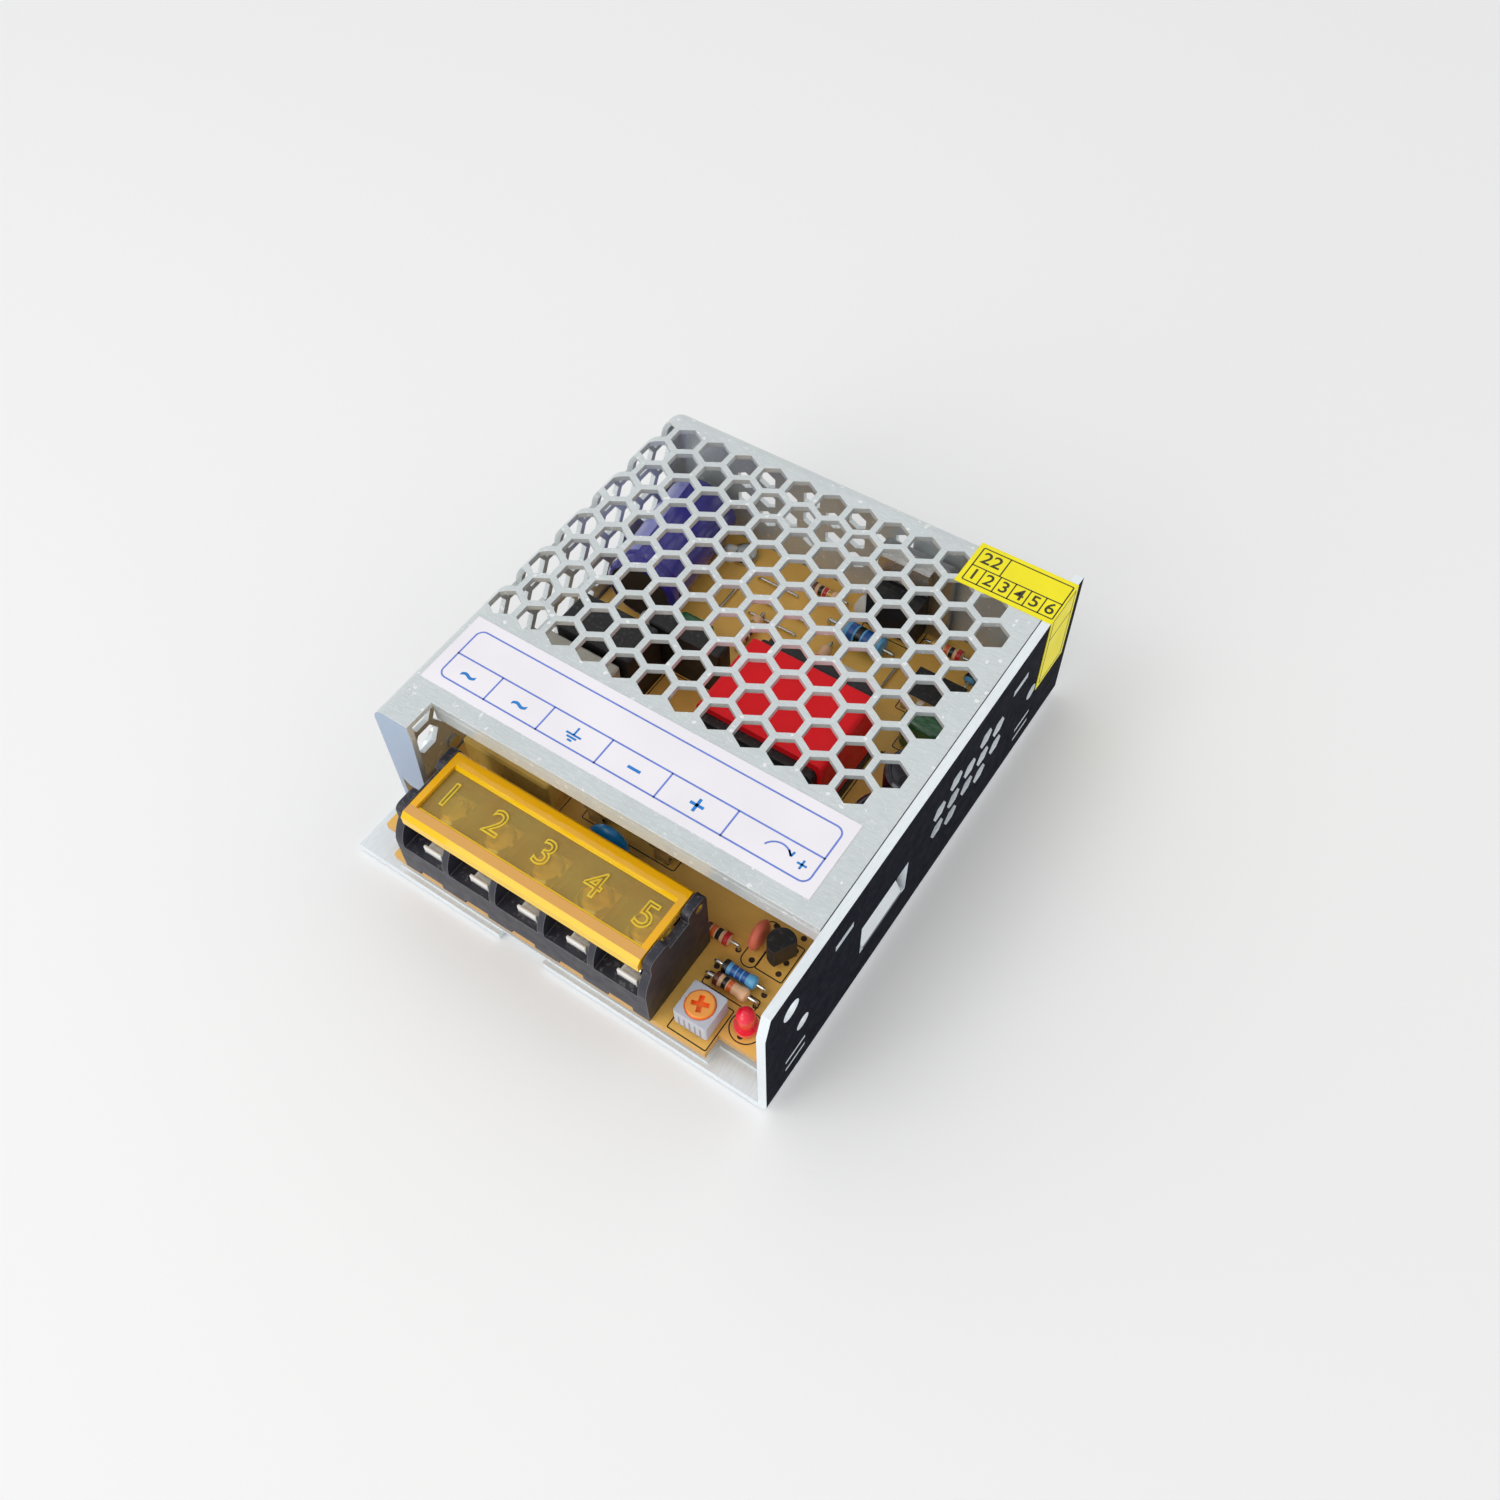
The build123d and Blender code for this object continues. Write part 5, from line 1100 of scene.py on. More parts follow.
@dataclass
class Housing:
    """Tray, perforated cover, case screws and the printed papers on them."""

    label_frame: tuple[float, float, float, float] = (-34.2, -25.65, 34.1, -14.9)
    label_corner: float = 1.2
    label_divider: float = -20.6
    label_cells: tuple[float, ...] = (-24.8, -14.5, -3.3, 7.7, 19.5)
    label_row: float = -23.2
    wave_signs: tuple[float, ...] = (-29.7, -19.4)
    wave_size: float = 4.8
    earth_sign: float = -8.9
    earth_bars: tuple[tuple[float, float], ...] = ((0.0, 1.4), (0.55, 0.9), (1.1, 0.4))
    minus_sign: tuple[float, float] = (1.3, 3.6)
    plus_sign: float = 13.8
    turn_sign: float = 29.75
    turn_plus: float = 31.8
    sign_line: float = 0.34
    bold_line: float = 0.5
    seal_margin: float = 0.8
    seal_fold_margin: float = 0.3
    seal_split: float = 0.46
    seal_cell: float = 5.0
    seal_line: float = 0.22
    seal_fold_line: float = 5.2

    def build(self) -> None:
        """Dress the sheets and print the papers."""
        dress("base_chassis", TRAY)
        dress("mesh_cover", MESH)
        dress("label", PAPER)
        dress("seal_sticker", SEAL_PAPER)
        dress("cover_screws", NICKEL)
        plane = at(0, 0, node_box("label")[1].z)
        self.print_frame(Print(BLUE_INK, plane))
        self.print_signs(Print(SIGN_INK, plane, self.sign_line))
        self.print_seal()

    def print_frame(self, ink: Print) -> None:
        """Draw the label's rounded frame with its six cells and the arc of the turning sign.

        Args:
            ink: The print that takes the lines.
        """
        left, front, right, rear = self.label_frame
        ink.box((left, front), (right, rear), self.label_corner)
        ink.stroke((left, self.label_divider), (right, self.label_divider))
        for x in self.label_cells:
            ink.stroke((x, front), (x, self.label_divider))
        ink.arc((self.turn_sign - 2.05, self.label_row - 1.0), 2.4, 155, 35)
        ink.shape.made("label_print", CASE_BODY, "paper_white")

    def print_signs(self, signs: Print) -> None:
        """Draw one plain sign in each of the label's cells.

        Args:
            signs: The print that takes the signs.
        """
        row = self.label_row
        for x in self.wave_signs:
            signs.mark("~", (x, row), self.wave_size, 0.07)
        signs.stroke((self.earth_sign, row + 1.5), (self.earth_sign, row))
        for drop, half in self.earth_bars:
            signs.stroke((self.earth_sign - half, row - drop), (self.earth_sign + half, row - drop))
        signs.stroke((self.minus_sign[0], row), (self.minus_sign[1], row), self.bold_line)
        signs.plus((self.plus_sign, row), 1.2, self.bold_line)
        tip = (self.turn_sign, row + 0.3)
        signs.stroke((tip[0] - 0.75, tip[1] + 0.8), tip)
        signs.stroke((tip[0] + 0.15, tip[1] + 0.9), tip)
        signs.plus((self.turn_plus, row), 0.8)
        signs.shape.made("label_signs", CASE_BODY, "paper_white")

    def print_seal(self) -> None:
        """Draw the seal's dark frame, two rows and plain numbers, carried over the wall's edge."""
        low, high = node_box("seal_sticker")
        ink = Print(DARK_INK, at(0, 0, high.z), self.seal_line)
        left, right = low.x + self.seal_margin, high.x - self.seal_fold_margin
        front, rear = low.y + self.seal_margin, high.y - self.seal_margin
        middle = front + (rear - front) * self.seal_split
        ink.box((left, front), (right, rear), 0.1)
        ink.stroke((left, middle), (right, middle))
        ink.stroke((left + self.seal_cell, middle), (left + self.seal_cell, rear))
        ink.mark("22", (left + self.seal_cell / 2, (middle + rear) / 2), 3.6)
        cell = (right - left) / 6
        for number in range(6):
            x = left + cell * number
            if number:
                ink.stroke((x, front), (x, middle))
            ink.mark(str(number + 1), (x + cell / 2, (front + middle) / 2), 3.4)
        ink.plane = Matrix.Translation((high.x, 0, 0)) @ Axis.X.value
        ink.box((-high.z + self.seal_fold_margin, front), (-low.z - self.seal_margin, rear), 0.1)
        fold_line = -high.z + self.seal_fold_line
        ink.stroke((fold_line, front), (fold_line, rear))
        ink.shape.made("seal_print", CASE_BODY, "paper_yellow")


@dataclass
class TerminalBlock:
    """Five-way screw terminal block with its clear swinging cover."""

    ways: int = 5
    digit_size: float = 6.4
    digit_stroke: float = 0.17
    digit_slant: float = 0.12
    panel_drop: float = 0.8
    # Size and inset of the painted highlight strips.
    bead: float = 0.34
    bead_inset: float = 3.0
    rail_inset: float = 2.75
    tab_left: float = -0.7
    tab_right: float = 3.0
    tab_reach: float = 3.2
    tab_rise: float = 1.9
    tab_sheet: float = 0.6
    tab_wall: float = 0.5
    tab_overlap: float = 0.5

    def build(self) -> None:
        """Dress the block's metal and plastic and raise the digits on the cover."""
        dress("terminal_body", BLACK_BLOCK)
        dress("terminal_contacts", TINNED)
        dress("terminal_cover", AMBER)
        for way in range(1, self.ways + 1):
            dress(f"clamp_plate_{way}", TINNED)
            dress(f"terminal_screw_{way}", NICKEL)
        self.raise_digits()
        self.rail_beads()
        self.tabs()

    def middles(self) -> list[float]:
        """Give each way's middle along X."""
        return [node_middle(f"clamp_plate_{way}").x for way in range(1, self.ways + 1)]

    def raise_digits(self) -> None:
        """Outline one plain digit over each way."""
        low, high = node_box("terminal_cover")
        shape = Shape(AMBER_RELIEF)
        for way, x in enumerate(self.middles(), 1):
            plane = at(x, (low.y + high.y) / 2, high.z - self.panel_drop)
            slanted = plane @ Matrix.Shear("XY", 4, (self.digit_slant, 0))
            shape.text(str(way), self.digit_size, self.digit_stroke, slanted, outline=self.digit_stroke)
        shape.made("cover_digits", LID_BODY, "amber_clear")

    def rail_beads(self) -> None:
        """Painted highlights: thin bright strips where the cover's panel meets its rails."""
        low, high = node_box("terminal_cover")
        shape = Shape(AMBER_HIGHLIGHT)
        foot = high.z - self.panel_drop
        half = self.bead / 2
        for y in (low.y + self.rail_inset, high.y - self.rail_inset):
            shape.block((low.x + self.bead_inset, y - half, foot - 0.02),
                        (high.x - self.bead_inset, y + half, foot + self.bead), bevel=self.bead * 0.3)
        shape.made("cover_rail_highlights", LID_BODY, "amber_clear")

    def tabs(self) -> None:
        """Bright turned-up front end of each way's contact strip."""
        low = node_box("terminal_contacts")[0]
        front = low.y - self.tab_reach
        shape = Shape(TAB_METAL)
        for x in self.middles():
            left, right = x + self.tab_left, x + self.tab_right
            shape.block((left, front, low.z), (right, low.y + self.tab_overlap, low.z + self.tab_sheet),
                        bevel=0.1)
            shape.block((left, front, low.z), (right, front + self.tab_wall, low.z + self.tab_rise),
                        bevel=0.15)
        shape.made("contact_tabs", CASE_BODY, "tinned_metal")


@dataclass
class Axial:
    """Small dog-bone resistor with colour bands and two bent leads."""

    name: str
    node: str
    slot: str
    centre: Place
    turn: float
    enamel: Finish
    bands: tuple[Finish, ...]
    length: float = 6.2
    diameter: float = 2.3
    pitch: float = 9.0
    lead: float = 0.28
    stub: float = 0.4
    waist_share: float = 0.84
    steps: int = 28

    def build(self, board_top: float) -> None:
        """Make the resistor on the board.

        Args:
            board_top: Height of the board's upper face.
        """
        shape = Shape(self.enamel, LEAD_WIRE, *self.bands)
        radius = self.diameter / 2
        rise = radius + self.stub
        half = self.length / 2
        knob = self.length * 0.18
        lay = at(*self.centre, board_top + rise, self.turn) @ Axis.X.value
        waist = radius * self.waist_share
        profile = [(0, -half), (radius * 0.5, -half), (radius * 0.88, -half + 0.25),
                   (radius, -half + knob * 0.55), (radius * 0.98, -half + knob), (waist, -half + knob * 1.5),
                   (waist, 0)]
        profile += [(r, -z) for r, z in reversed(profile[:-1])]
        shape.turned(profile, 0, lay, self.steps)
        for index, (place, share) in enumerate(self.band_places(half, knob)[:len(self.bands)]):
            self.band(shape, place, share * radius + 0.015, 2 + index, lay)
        self.leads(shape, half, rise, at(*self.centre, board_top, self.turn))
        shape.made(self.name, CASE_BODY, self.slot, [self.node])

    def band_places(self, half: float, knob: float) -> list[tuple[float, float]]:
        """Say where bands sit along the body, with the body's share of full radius there."""
        end, waist = half - knob * 0.62, self.waist_share
        return [(-end, 1.0), (-half * 0.32, waist), (0.0, waist), (half * 0.32, waist), (end, 1.0)]

    def band(self, shape: Shape, place: float, radius: float, finish: int, lay: Matrix) -> None:
        """Wrap one band round the body.

        Args:
            shape: The resistor's shape.
            place: Middle of the band along the body.
            radius: The band's radius.
            finish: Which finish it takes.
            lay: Where the body lies.
        """
        width = self.length * 0.075
        inner = radius - 0.12
        profile = [(inner, place - width), (radius, place - width * 0.8),
                   (radius, place + width * 0.8), (inner, place + width)]
        shape.turned(profile, finish, lay, self.steps)

    def leads(self, shape: Shape, half: float, rise: float, upright: Matrix) -> None:
        """Bend a lead down from each end.

        Args:
            shape: The resistor's shape.
            half: Half the body's length.
            rise: Height of the body's axis over the board.
            upright: Where the resistor stands.
        """
        reach = self.pitch / 2
        for side in (-1, 1):
            route = [(side * half * 0.9, 0, rise), (side * (reach - 0.5), 0, rise), (side * reach, 0, rise),
                     (side * reach, 0, rise - 0.6), (side * reach, 0, 0)]
            shape.wire(route, self.lead, 1, upright)


@dataclass
class Can:
    """Electrolytic can in a shrink sleeve, with a polarity stripe, a scored end and a rubber seal."""

    name: str
    node: str
    slot: str
    diameter: float
    length: float
    matrix: Matrix
    sleeve: Finish
    stripe_turn: float
    top: Finish = CAN_TOP
    groove_from: float = 1.9
    groove_to: float = 3.3
    groove_depth: float = 0.45
    score: float = 0.09
    stripe_angle: float = 46.0

    def build(self) -> None:
        """Make the can standing on its seal, then lay it where it goes."""
        shape = Shape(self.sleeve, self.top, RUBBER_SEAL, SLEEVE_STRIPE)
        r, h = self.diameter / 2, self.length
        neck = r - self.groove_depth
        sleeve = [(r * 0.86, 0.0), (r * 0.93, 0.12), (r, 0.75), (r, self.groove_from),
                  (neck, self.groove_from + 0.5), (neck, self.groove_to - 0.5), (r, self.groove_to),
                  (r, h - 0.9), (r * 0.97, h - 0.3), (r * 0.86, h - 0.02), (r * 0.80, h - 0.05)]
        end = [(0, h - 0.32), (r * 0.72, h - 0.32), (r * 0.78, h - 0.12), (r * 0.84, h - 0.08)]
        shape.turned(sleeve, 0, self.matrix, 64)
        shape.turned(end, 1, self.matrix, 64)
        shape.turned([(0, 0.35), (r * 0.80, 0.35), (r * 0.87, 0.1)], 2, self.matrix, 48)
        for turn in (0, 60, 120):
            shape.block((-r * 0.6, -self.score, h - 0.33), (r * 0.6, self.score, h - 0.27), 1, 0.02, 1,
                        self.matrix @ spun(turn))
        self.stripe(shape, r + 0.02)
        shape.made(self.name, CASE_BODY, self.slot, [self.node])

    def stripe(self, shape: Shape, radius: float) -> None:
        """Run a pale stripe down the sleeve.

        Args:
            shape: The can's shape.
            radius: The stripe's inner radius.
        """
        part = bmesh.new()
        verts = [part.verts.new((radius, 0, z)) for z in (self.groove_to + 0.3, self.length - 1.2)]
        edge = part.edges.new(verts)
        bmesh.ops.spin(part, geom=verts + [edge], cent=(0, 0, 0), axis=(0, 0, 1),
                       angle=math.radians(self.stripe_angle), steps=8)
        bmesh.ops.solidify(part, geom=part.faces[:], thickness=0.03)
        bmesh.ops.recalc_face_normals(part, faces=part.faces)
        shape.adopt(part, 3, self.matrix @ spun(self.stripe_turn))


@dataclass
class Dipped:
    """Disc in a dipped coat, standing on two tinned leads that the coat runs down."""

    node: str
    slot: str
    coat: Finish
    pitch: float
    lead: float = 0.28

    def build(self, board_top: float) -> None:
        """Make the disc in its node's place, thin the way that the node is thin.

        Args:
            board_top: Height of the board's upper face.
        """
        low, high = node_box(self.node)
        centre = (low + high) / 2
        sizes = high - low
        thin_x = sizes.x < sizes.y
        half, radius = min(sizes.x, sizes.y) / 2, max(sizes.x, sizes.y) / 2
        middle = high.z - radius
        side = [(0, -half), (radius * 0.5, -half * 0.94), (radius * 0.76, -half * 0.76),
                (radius * 0.92, -half * 0.45)]
        profile = side + [(radius, 0)] + [(r, -z) for r, z in reversed(side)]
        lay = (Axis.X if thin_x else Axis.Y).value
        shape = Shape(self.coat, LEAD_WIRE)
        shape.turned(profile, 0, Matrix.Translation((centre.x, centre.y, middle)) @ lay, 56)
        rise = middle - board_top - radius * 0.72
        collar = [(0, rise * 0.35), (self.lead * 1.3, rise * 0.4), (self.lead * 2.2, rise + radius * 0.2),
                  (0, rise + radius * 0.3)]
        for step in (-self.pitch / 2, self.pitch / 2):
            dx, dy = (0, step) if thin_x else (step, 0)
            foot = at(centre.x + dx, centre.y + dy, board_top)
            shape.turned(collar, 0, foot, 16)
            shape.wire([(0, 0, 0), (0, 0, rise * 0.5), (0, 0, rise + radius * 0.2)], self.lead, 1, foot)
        shape.made(f"{self.node}_dipped", CASE_BODY, self.slot, [self.node])


@dataclass
class Choke:
    """Toroid wound with enamelled wire."""

    turns: int = 18
    wire: float = 0.36
    bore_share: float = 0.38
    first_turn: float = 10.0
    wound_angle: float = 340.0

    def build(self) -> None:
        """Make the core and its turns in the node's place."""
        low, high = node_box("output_inductor")
        centre = (low + high) / 2
        outer, height = (high.x - low.x) / 2, high.z - low.z
        inner = outer * self.bore_share
        clear, half = self.wire * 1.05, self.wire * 0.5
        shape = Shape(CHOKE_CORE, CHOKE_COPPER)
        ring = [(inner + clear, clear), (outer - clear, clear), (outer - clear, height - clear),
                (inner + clear, height - clear), (inner + clear, clear)]
        place = at(centre.x, centre.y, low.z)
        shape.turned(ring, 0, place, 48)
        near, far = inner + half, outer - self.wire * 0.55
        route = [(near, 0, clear), (near, 0, height - clear), (near + clear, 0, height - half),
                 (far - clear, 0, height - half), (far, 0, height - clear), (far, 0, clear),
                 (far - clear, 0, half), (near + clear, 0, half), (near, 0, clear)]
        for index in range(self.turns):
            angle = self.first_turn + self.wound_angle * index / self.turns
            shape.wire(route, self.wire / 2, 1, place @ spun(angle), 1)
        shape.made("output_choke", CASE_BODY, "choke_green", ["output_inductor"])


@dataclass
class Fuse:
    """Glass fuse with its caps, wire and clips."""

    cap: float = 4.6
    glass_share: float = 0.9
    glass_wall: float = 0.5
    clip_half: float = 1.4
    clip_sheet: float = 0.4
    clip_rise: float = 0.8
    wire: float = 0.09
    wire_sag: float = 0.15

    def build(self, board_top: float) -> None:
        """Make the fuse in its node's place.

        Args:
            board_top: Height of the board's upper face.
        """
        low, high = node_box("fuse")
        x, y = node_middle("fuse").xy
        radius, half = (high.y - low.y) / 2, (high.x - low.x) / 2
        axis = high.z - radius
        lay = Matrix.Translation((x, y, axis)) @ Axis.X.value
        glass = radius * self.glass_share
        bore, end = glass - self.glass_wall, half - 1
        shape = Shape(FUSE_GLASS, TINNED, LEAD_WIRE)
        shape.turned([(glass, -end), (glass, end), (bore, end), (bore, -end), (glass, -end)], 0, lay, 48)
        for side in (-1, 1):
            inside = side * (half - self.cap)
            profile = [(0, side * half), (radius * 0.8, side * half), (radius, side * (half - 0.4)),
                       (radius, inside), (glass, inside)]
            shape.turned(profile, 1, lay, 48)
            middle = x + side * (half - self.cap / 2)
            self.clip(shape, middle, board_top, axis + self.clip_rise)
        shape.wire([(x - end, y, axis), (x, y, axis - self.wire_sag), (x + end, y, axis)], self.wire, 2)
        shape.made("fuse_assembly", CASE_BODY, "fuse_glass", ["fuse"])

    def clip(self, shape: Shape, middle: float, foot: float, top: float) -> None:
        """Stand a clip round a cap: two cheeks and a strip under them.

        Args:
            shape: The fuse's shape.
            middle: The clip's middle along X.
            foot: Height of the board's upper face.
            top: Height of the cheeks' upper edge.
        """
        low, high = node_box("fuse")
        left, right = middle - self.clip_half, middle + self.clip_half
        sheet = self.clip_sheet
        for front, rear, rise in ((low.y, low.y + sheet, top), (high.y - sheet, high.y, top),
                                  (low.y, high.y, foot + sheet)):
            shape.block((left, front, foot), (right, rear, rise), 1, 0.1)


@dataclass
class Board:
    """Printed board with its silkscreen, parts, glue and jumpers."""

    silk_line: float = 0.2
    silk_thickness: float = 0.015
    silk_margin: float = 0.5
    lamp: Place = (32.6, -39.2)
    lamp_ring: float = 2.6
    outlined: tuple[str, ...] = (
        "input_film_capacitor", "line_film_capacitor", "line_filter", "bridge_rectifier",
        "controller_chip", "optocoupler", "green_film_capacitor", "small_film_capacitor", "thermistor",
        "fuse", "power_transistor", "blue_disc_capacitor", "transformer_bobbin",
    )
    trimmer_frame: tuple[Place, Place] = ((22.5, -45.7), (29.7, -37.9))
    transistor_frame: tuple[Place, Place] = ((28.0, -30.4), (33.1, -23.4))
    disc_frame: tuple[Place, Place] = ((25.3, -31.0), (28.3, -22.0))
    resistor_frame: tuple[Place, Place] = ((22.6, -36.9), (32.2, -34.4))
    lead_holes: tuple[Place, ...] = (
        (32.6, -40.8), (23.0, -35.5), (31.8, -35.5), (23.2, -33.3), (31.9, -33.3), (24.4, -29.2),
        (27.1, -29.5), (27.1, -22.5), (31.8, -29.2), (31.8, -27.0), (31.9, -24.5), (31.8, -22.0),
        (16.0, -29.2),
    )
    jumpers: tuple[tuple[Place, Place], ...] = (
        ((-12.0, 28.0), (-2.0, 28.0)), ((-12.0, 31.5), (1.0, 31.5)), ((17.0, 24.0), (17.0, 36.0)),
        ((-17.0, 22.5), (-17.0, 32.0)), ((2.0, 17.6), (2.0, 21.0)), ((-10.0, -8.0), (-3.0, -8.0)),
        ((24.0, 14.6), (30.0, 14.6)), ((-15.0, 36.0), (-6.5, 36.0)),
    )
    jumper_lift: float = 0.45
    jumper_wire: float = 0.27
    sealant: tuple[tuple[float, float, float, float], ...] = (
        (5.6, 40.0, 2.2, 2.6), (9.2, 39.4, 1.8, 2.0), (-25.6, 16.4, 2.4, 2.2), (-22.8, 38.0, 1.9, 2.0),
        (30.6, 9.6, 1.7, 1.8),
    )
    small_lift: float = 1.4
    lamp_collar: float = 1.3
    tab_height: float = 5.0
    slot_depth: float = 0.12
    chip_leg_reach: float = 0.95
    bulk_place: Place = (-29.0, 28.6)
    bulk_diameter: float = 14.0
    bulk_length: float = 24.0
    bulk_turn: float = 6.0
    output_x: float = 34.2
    output_rows: tuple[float, ...] = (-4.6, 5.1)
    rib_steps: tuple[float, ...] = (0.18, 0.34, 0.5, 0.66, 0.82)
    rib_half: float = 0.16
    discs: tuple[Dipped, ...] = (
        Dipped("ceramic_capacitor", "ceramic_salmon", SALMON_DIP, 2.5),
        Dipped("blue_disc_capacitor", "disc_blue", BLUE_DIP, 5.0),
        Dipped("thermistor", "thermistor_black", BLACK_DIP, 5.0),
    )
    tan_places: tuple[tuple[Place, float], ...] = (
        ((20.0, -29.2), 0.0), ((27.4, -35.5), 0.0), ((-2.0, 38.6), 0.0), ((22.9, 38.8), 0.0),
        ((5.0, 24.8), 90.0), ((-9.0, 24.0), 90.0),
    )
    tan_codes: tuple[tuple[Finish, ...], ...] = (
        (BAND_GOLD, BAND_BROWN, BAND_ORANGE, BAND_BLACK, BAND_RED), (BAND_BROWN, BAND_BLACK, BAND_ORANGE),
        (BAND_BROWN, BAND_BLACK, BAND_RED, BAND_GOLD),
    )
    blue_places: tuple[tuple[Place, float], ...] = (
        ((27.4, -33.1), 0.0), ((29.4, 37.8), 90.0), ((0.0, 22.0), 90.0),
    )
    blue_code: tuple[Finish, ...] = (BAND_BLACK, BAND_NAVY, BAND_NAVY, BAND_NAVY)
    resistors: list[Axial] = field(default_factory=list)
    top: float = field(init=False)

    def __post_init__(self) -> None:
        """Place the resistors where the board carries them."""
        self.top = node_box("circuit_board")[1].z
        for index, (centre, turn) in enumerate(self.tan_places):
            self.resistors.append(Axial(f"tan_resistor_{index + 1}", "tan_resistors", "resistor_tan",
                                        centre, turn, TAN_ENAMEL, self.tan_codes[index % 3]))
        for index, (centre, turn) in enumerate(self.blue_places):
            self.resistors.append(Axial(f"blue_resistor_{index + 1}", "blue_resistors", "resistor_blue",
                                        centre, turn, BLUE_ENAMEL, self.blue_code))
        self.resistors.append(Axial("blue_power_resistor", "power_resistor", "resistor_blue",
                                    (9.0, 32.4), -4.0, BLUE_ENAMEL,
                                    (BAND_NAVY, BAND_NAVY, BAND_BLACK, BAND_NAVY),
                                    length=9.6, diameter=4.4, pitch=13.6, lead=0.38))

    def build(self) -> None:
        """Dress the board and everything on it."""
        dress("circuit_board", BOARD)
        dress("insulating_sheet", FILM)
        dress("board_screws", NICKEL)
        self.dress_boxes()
        for part in (*self.resistors, *self.discs):
            part.build(self.top)
        for node in ("green_film_capacitor", "small_film_capacitor"):
            self.dipped_box(node)
        Choke().build()
        Fuse().build(self.top)
        self.cans()
        self.silkscreen()
        self.holes()
        self.jumper_wires()
        self.trimmer_ribs()
        self.glue()

    def dress_boxes(self) -> None:
        """Dress the parts whose shape comes from the frame."""
        finishes = {
            "input_film_capacitor": YELLOW_FILM,
            "line_film_capacitor": GREY_FILM,
            "line_filter": MOULDED,
            "bridge_rectifier": MOULDED,
            "transformer_winding": RED_TAPE,
            "transformer_bobbin": MOULDED,
            "transformer_core": FERRITE,
            "heatsink_plate": PLATE,
            "power_transistor": self.package("transistor_package", "power_transistor"),
            "output_rectifier": self.package("rectifier_package", "output_rectifier"),
            "signal_transistor": legged("small_package", MOULDED, below_mm=self.top + self.small_lift),
            "controller_chip": self.chip("controller_package", "controller_chip", MOULDED),
            "optocoupler": self.chip("coupler_package", "optocoupler", WHITE_MOULD),
            "trimmer_body": TRIM_CASE,
            # Rotor: orange, deeper orange below its top, in the slot and round its sides; partly its own
            # colour, partly painted shade.
            "trimmer_rotor": ZonedFinish(
                "rotor_orange", paint(255, 166, 70), 0.36, drift=0.08, grain_depth=0.01,
                below_mm=node_box("trimmer_rotor")[1].z - self.slot_depth,
                zone_colour=paint(255, 112, 16), zone_metallic=0.0, zone_roughness=0.4),
            "indicator_led": ZonedFinish(
                "lamp_red", paint(250, 16, 52), 0.2, drift=0.06, grain_mm=1.0, grain_depth=0.01, coat=0.6,
                below_mm=self.top + self.lamp_collar,
                zone_colour=paint(255, 84, 80), zone_metallic=0.0, zone_roughness=0.3),
        }
        for node, finish in finishes.items():
            dress(node, finish)

    def package(self, name: str, node: str) -> ZonedFinish:
        """Give the finish of a flat package, its tab bare above the moulded body."""
        return legged(name, MOULDED, above_mm=node_box(node)[1].z - self.tab_height)

    def chip(self, name: str, node: str, body: Finish) -> ZonedFinish:
        """Give the finish of a two-row chip, its legs bare beyond the moulded body.

        Args:
            name: Name of the finish.
            node: The chip's node.
            body: Finish of the moulding.

        Returns:
            The finish with its zones.
        """
        low, high = node_box(node)
        reach = self.chip_leg_reach
        return legged(name, body, axis="Y", below_mm=low.y + reach, above_mm=high.y - reach)

    def dipped_box(self, node: str) -> None:
        """Make a film capacitor with the swollen corners that dipping gives.

        Args:
            node: The capacitor's node, which the piece replaces.
        """
        low, high = node_box(node)
        shape = Shape(GREEN_DIP)
        shape.block(low, high, bevel=min(high - low) * 0.32, segments=5)
        shape.made(f"{node}_dipped", CASE_BODY, "film_green", [node])

    def cans(self) -> None:
        """Make the electrolytics: the large one on its side and the output pair."""
        middle = at(*self.bulk_place, self.top + self.bulk_diameter / 2, self.bulk_turn)
        lay = middle @ Axis.Y.value @ at(0, 0, -self.bulk_length / 2)
        Can("main_electrolytic", "bulk_capacitor", "sleeve_purple", self.bulk_diameter, self.bulk_length,
            lay, PURPLE_SLEEVE, 210).build()
        for index, y in enumerate(self.output_rows):
            Can(f"output_electrolytic_{index + 1}", "output_capacitors", "sleeve_black", 9.0, 15.0,
                at(self.output_x, y, self.top), BLACK_SLEEVE, 120, BLACK_SLEEVE).build()

    def silkscreen(self) -> None:
        """Print the outlines round the parts."""
        ink = Print(SILK, at(0, 0, self.top), self.silk_line, self.silk_thickness)
        edge = self.silk_margin
        for node in self.outlined:
            low, high = node_box(node)
            ink.box((low.x - edge, low.y - edge), (high.x + edge, high.y + edge), 0.3)
        ink.box(*self.trimmer_frame, 0.1)
        ink.arc(self.lamp, self.lamp_ring, 0, 360, 28)
        ink.box(*self.transistor_frame, 0.2)
        ink.box(*self.disc_frame, 1.2)
        ink.box(*self.resistor_frame, 0.3)
        ink.shape.made("board_silkscreen", CASE_BODY, "board_tan")

    def holes(self) -> None:
        """Make the lead holes as painted shade: dark discs just over the board."""
        shape = Shape(HOLE_SHADE)
        for x, y in self.lead_holes:
            shape.turned([(0, 0.004), (0.42, 0.004), (0.5, 0.0)], 0, at(x, y, self.top), 16)
        shape.made("board_lead_holes", CASE_BODY, "board_tan")

    def trimmer_ribs(self) -> None:
        """Make the moulded ribs on the trimmer housing's front face."""
        low, high = node_box("trimmer_body")
        shape = Shape(TRIM_RIB)
        for step in self.rib_steps:
            x = low.x + (high.x - low.x) * step
            shape.block((x - self.rib_half, low.y - 0.04, low.z + 0.4),
                        (x + self.rib_half, low.y + 0.02, high.z - 0.9), 0, 0.02, 1)
        shape.made("trimmer_ribs", CASE_BODY, "trimmer_case")

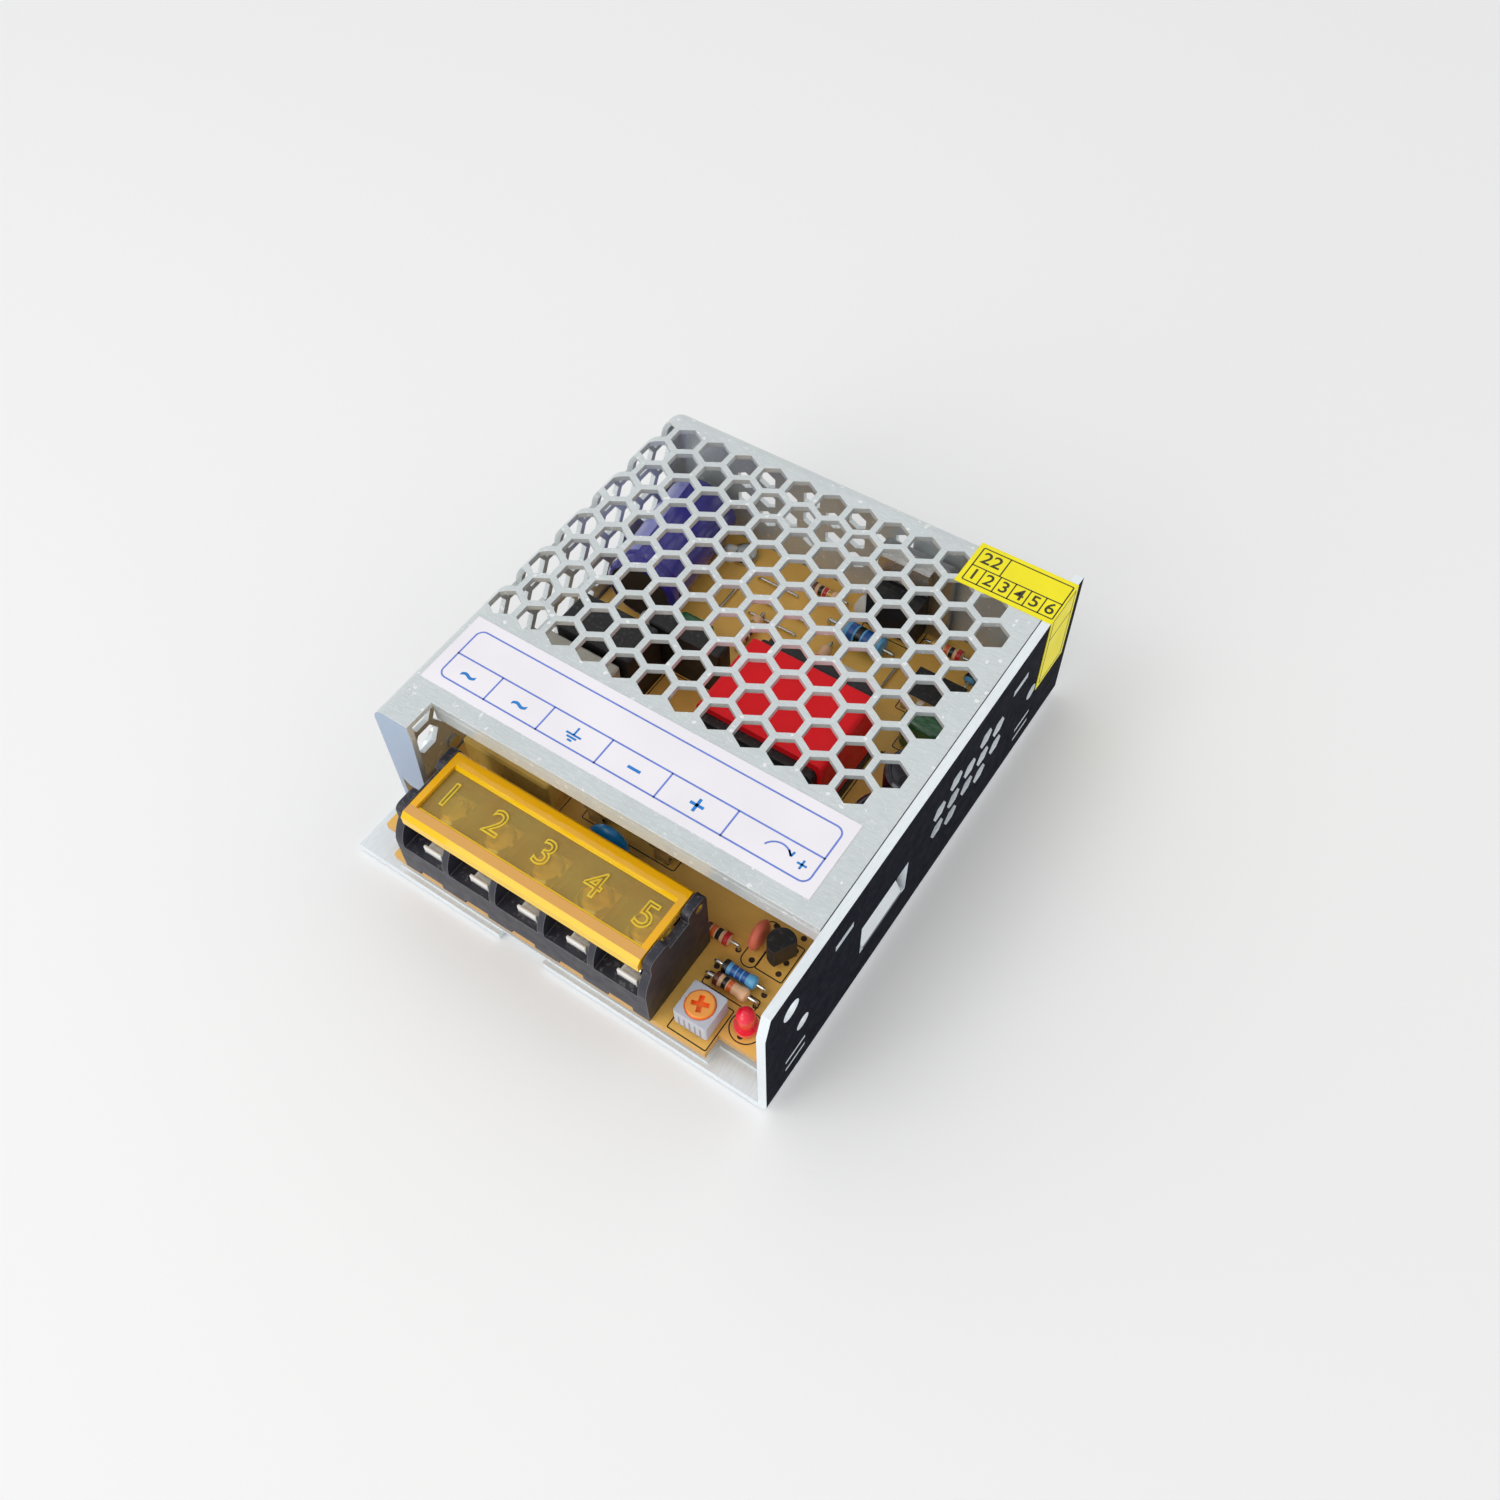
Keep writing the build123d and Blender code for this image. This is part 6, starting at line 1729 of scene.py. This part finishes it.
    def jumper_wires(self) -> None:
        """Lay the bare wire links on the board."""
        shape = Shape(LEAD_WIRE)
        lift = self.jumper_lift
        for (x0, y0), (x1, y1) in self.jumpers:
            route = [(x0, y0, 0), (x0, y0, lift), ((3 * x0 + x1) / 4, (3 * y0 + y1) / 4, lift),
                     ((x0 + 3 * x1) / 4, (y0 + 3 * y1) / 4, lift), (x1, y1, lift), (x1, y1, 0)]
            shape.wire(route, self.jumper_wire, 0, at(0, 0, self.top))
        shape.made("board_jumpers", CASE_BODY, "tinned_metal")

    def glue(self) -> None:
        """Make the blobs of white sealant that brace the tall parts."""
        shape = Shape(WHITE_GLUE)
        maker = random.Random(7)
        for x, y, radius, height in self.sealant:
            part = bmesh.new()
            bmesh.ops.create_icosphere(part, subdivisions=4, radius=1.0)
            for vert in part.verts:
                wobble = 1 + 0.16 * math.sin(3.1 * vert.co.x + x) * math.cos(2.7 * vert.co.y + y)
                vert.co *= wobble * maker.uniform(0.995, 1.005)
            bmesh.ops.bisect_plane(part, geom=part.verts[:] + part.edges[:] + part.faces[:],
                                   plane_co=(0, 0, -0.2), plane_no=(0, 0, -1), clear_outer=True)
            flat = at(x, y, self.top + 0.2 * height) @ Matrix.Diagonal((radius, radius, height, 1))
            shape.adopt(part, 0, flat)
        shape.made("board_sealant", CASE_BODY, "moulded_white")


@dataclass
class Studio:
    """Pale floor, soft lamps and the camera at the reference viewpoint."""

    image_px: float = 1500.0
    focal_px: float = 1382.5
    centre_px: Place = (709.3, 733.2)
    sensor_mm: float = 36.0
    eye: Point = (82.081, -106.135, 199.697)
    forward: Point = (-0.357153, 0.455353, -0.815534)
    up: Point = (-0.446047, 0.683984, 0.577242)
    world_light: float = 0.92
    floor_colour: Colour = (0.93, 0.93, 0.93)
    floor_half_m: float = 3.0
    floor_drop_m: float = 0.0002

    def build(self) -> None:
        """Set the stage."""
        self.floor()
        self.world()
        self.lamps()
        self.camera()
        bpy.context.scene.view_settings.view_transform = "Standard"

    def floor(self) -> None:
        """Lay a large pale floor just under the case."""
        graph = Graph("studio_floor")
        graph.set(Base_Color=self.floor_colour, Roughness=0.9, Specular_IOR_Level=0.1)
        bm = bmesh.new()
        bmesh.ops.create_grid(bm, x_segments=1, y_segments=1, size=self.floor_half_m)
        mesh = bpy.data.meshes.new("studio_floor")
        bm.to_mesh(mesh)
        bm.free()
        mesh.materials.append(graph.material)
        floor = bpy.data.objects.new("studio_floor", mesh)
        floor.location = (0, 0, -self.floor_drop_m)
        bpy.context.scene.collection.objects.link(floor)

    def world(self) -> None:
        """Surround the object with white that lights it gently and shows in metal and glass."""
        world = bpy.data.worlds.new("studio")
        world.use_nodes = True
        tree = world.node_tree
        tree.nodes.clear()
        output = tree.nodes.new("ShaderNodeOutputWorld")
        background = tree.nodes.new("ShaderNodeBackground")
        path = tree.nodes.new("ShaderNodeLightPath")
        seen = path.outputs["Is Camera Ray"]
        for ray in ("Is Transmission Ray", "Is Glossy Ray"):
            either = tree.nodes.new("ShaderNodeMath")
            either.operation = "MAXIMUM"
            tree.links.new(seen, either.inputs[0])
            tree.links.new(path.outputs[ray], either.inputs[1])
            seen = either.outputs[0]
        strength = tree.nodes.new("ShaderNodeMapRange")
        strength.inputs["To Min"].default_value = self.world_light
        strength.inputs["To Max"].default_value = 1.0
        tree.links.new(seen, strength.inputs["Value"])
        tree.links.new(strength.outputs["Result"], background.inputs["Strength"])
        tree.links.new(background.outputs[0], output.inputs[0])
        bpy.context.scene.world = world

    def lamps(self) -> None:
        """Hang a large soft key at the front left, a low one in front and a weak fill at the rear."""
        for name, place, size, power in (
            ("key", (-0.40, -0.50, 0.80), 0.45, 1.4),
            ("front", (-0.15, -0.75, 0.35), 0.5, 1.6),
            ("fill", (0.25, 0.55, 0.70), 0.6, 0.3),
        ):
            lamp = bpy.data.lights.new(name, "AREA")
            lamp.size = size
            lamp.energy = power
            holder = bpy.data.objects.new(name, lamp)
            holder.location = place
            holder.rotation_euler = (-Vector(place)).to_track_quat("-Z", "Y").to_euler()
            bpy.context.scene.collection.objects.link(holder)

    def camera(self) -> None:
        """Set up the camera with the reference picture's place, tilt, lens and shift."""
        data = bpy.data.cameras.new("camera")
        data.sensor_width = self.sensor_mm
        data.lens = self.focal_px / self.image_px * self.sensor_mm
        data.shift_x = (self.image_px / 2 - self.centre_px[0]) / self.image_px
        data.shift_y = (self.centre_px[1] - self.image_px / 2) / self.image_px
        data.clip_start = 0.01
        data.clip_end = 10.0
        holder = bpy.data.objects.new("camera", data)
        back = -Vector(self.forward).normalized()
        up = Vector(self.up).normalized()
        right = up.cross(back).normalized()
        turn = Matrix((right, back.cross(right), back)).transposed()
        holder.matrix_world = Matrix.Translation(Vector(self.eye) * MM) @ turn.to_4x4()
        bpy.context.scene.collection.objects.link(holder)
        bpy.context.scene.camera = holder


def main() -> None:
    """Build every sub-assembly in order."""
    logging.basicConfig(level=logging.INFO, format="%(name)s %(message)s")
    for assembly in (Housing(), TerminalBlock(), Board(), Studio()):
        assembly.build()
        LOG.info("%s done", type(assembly).__name__)


if __name__ == "__main__":
    main()
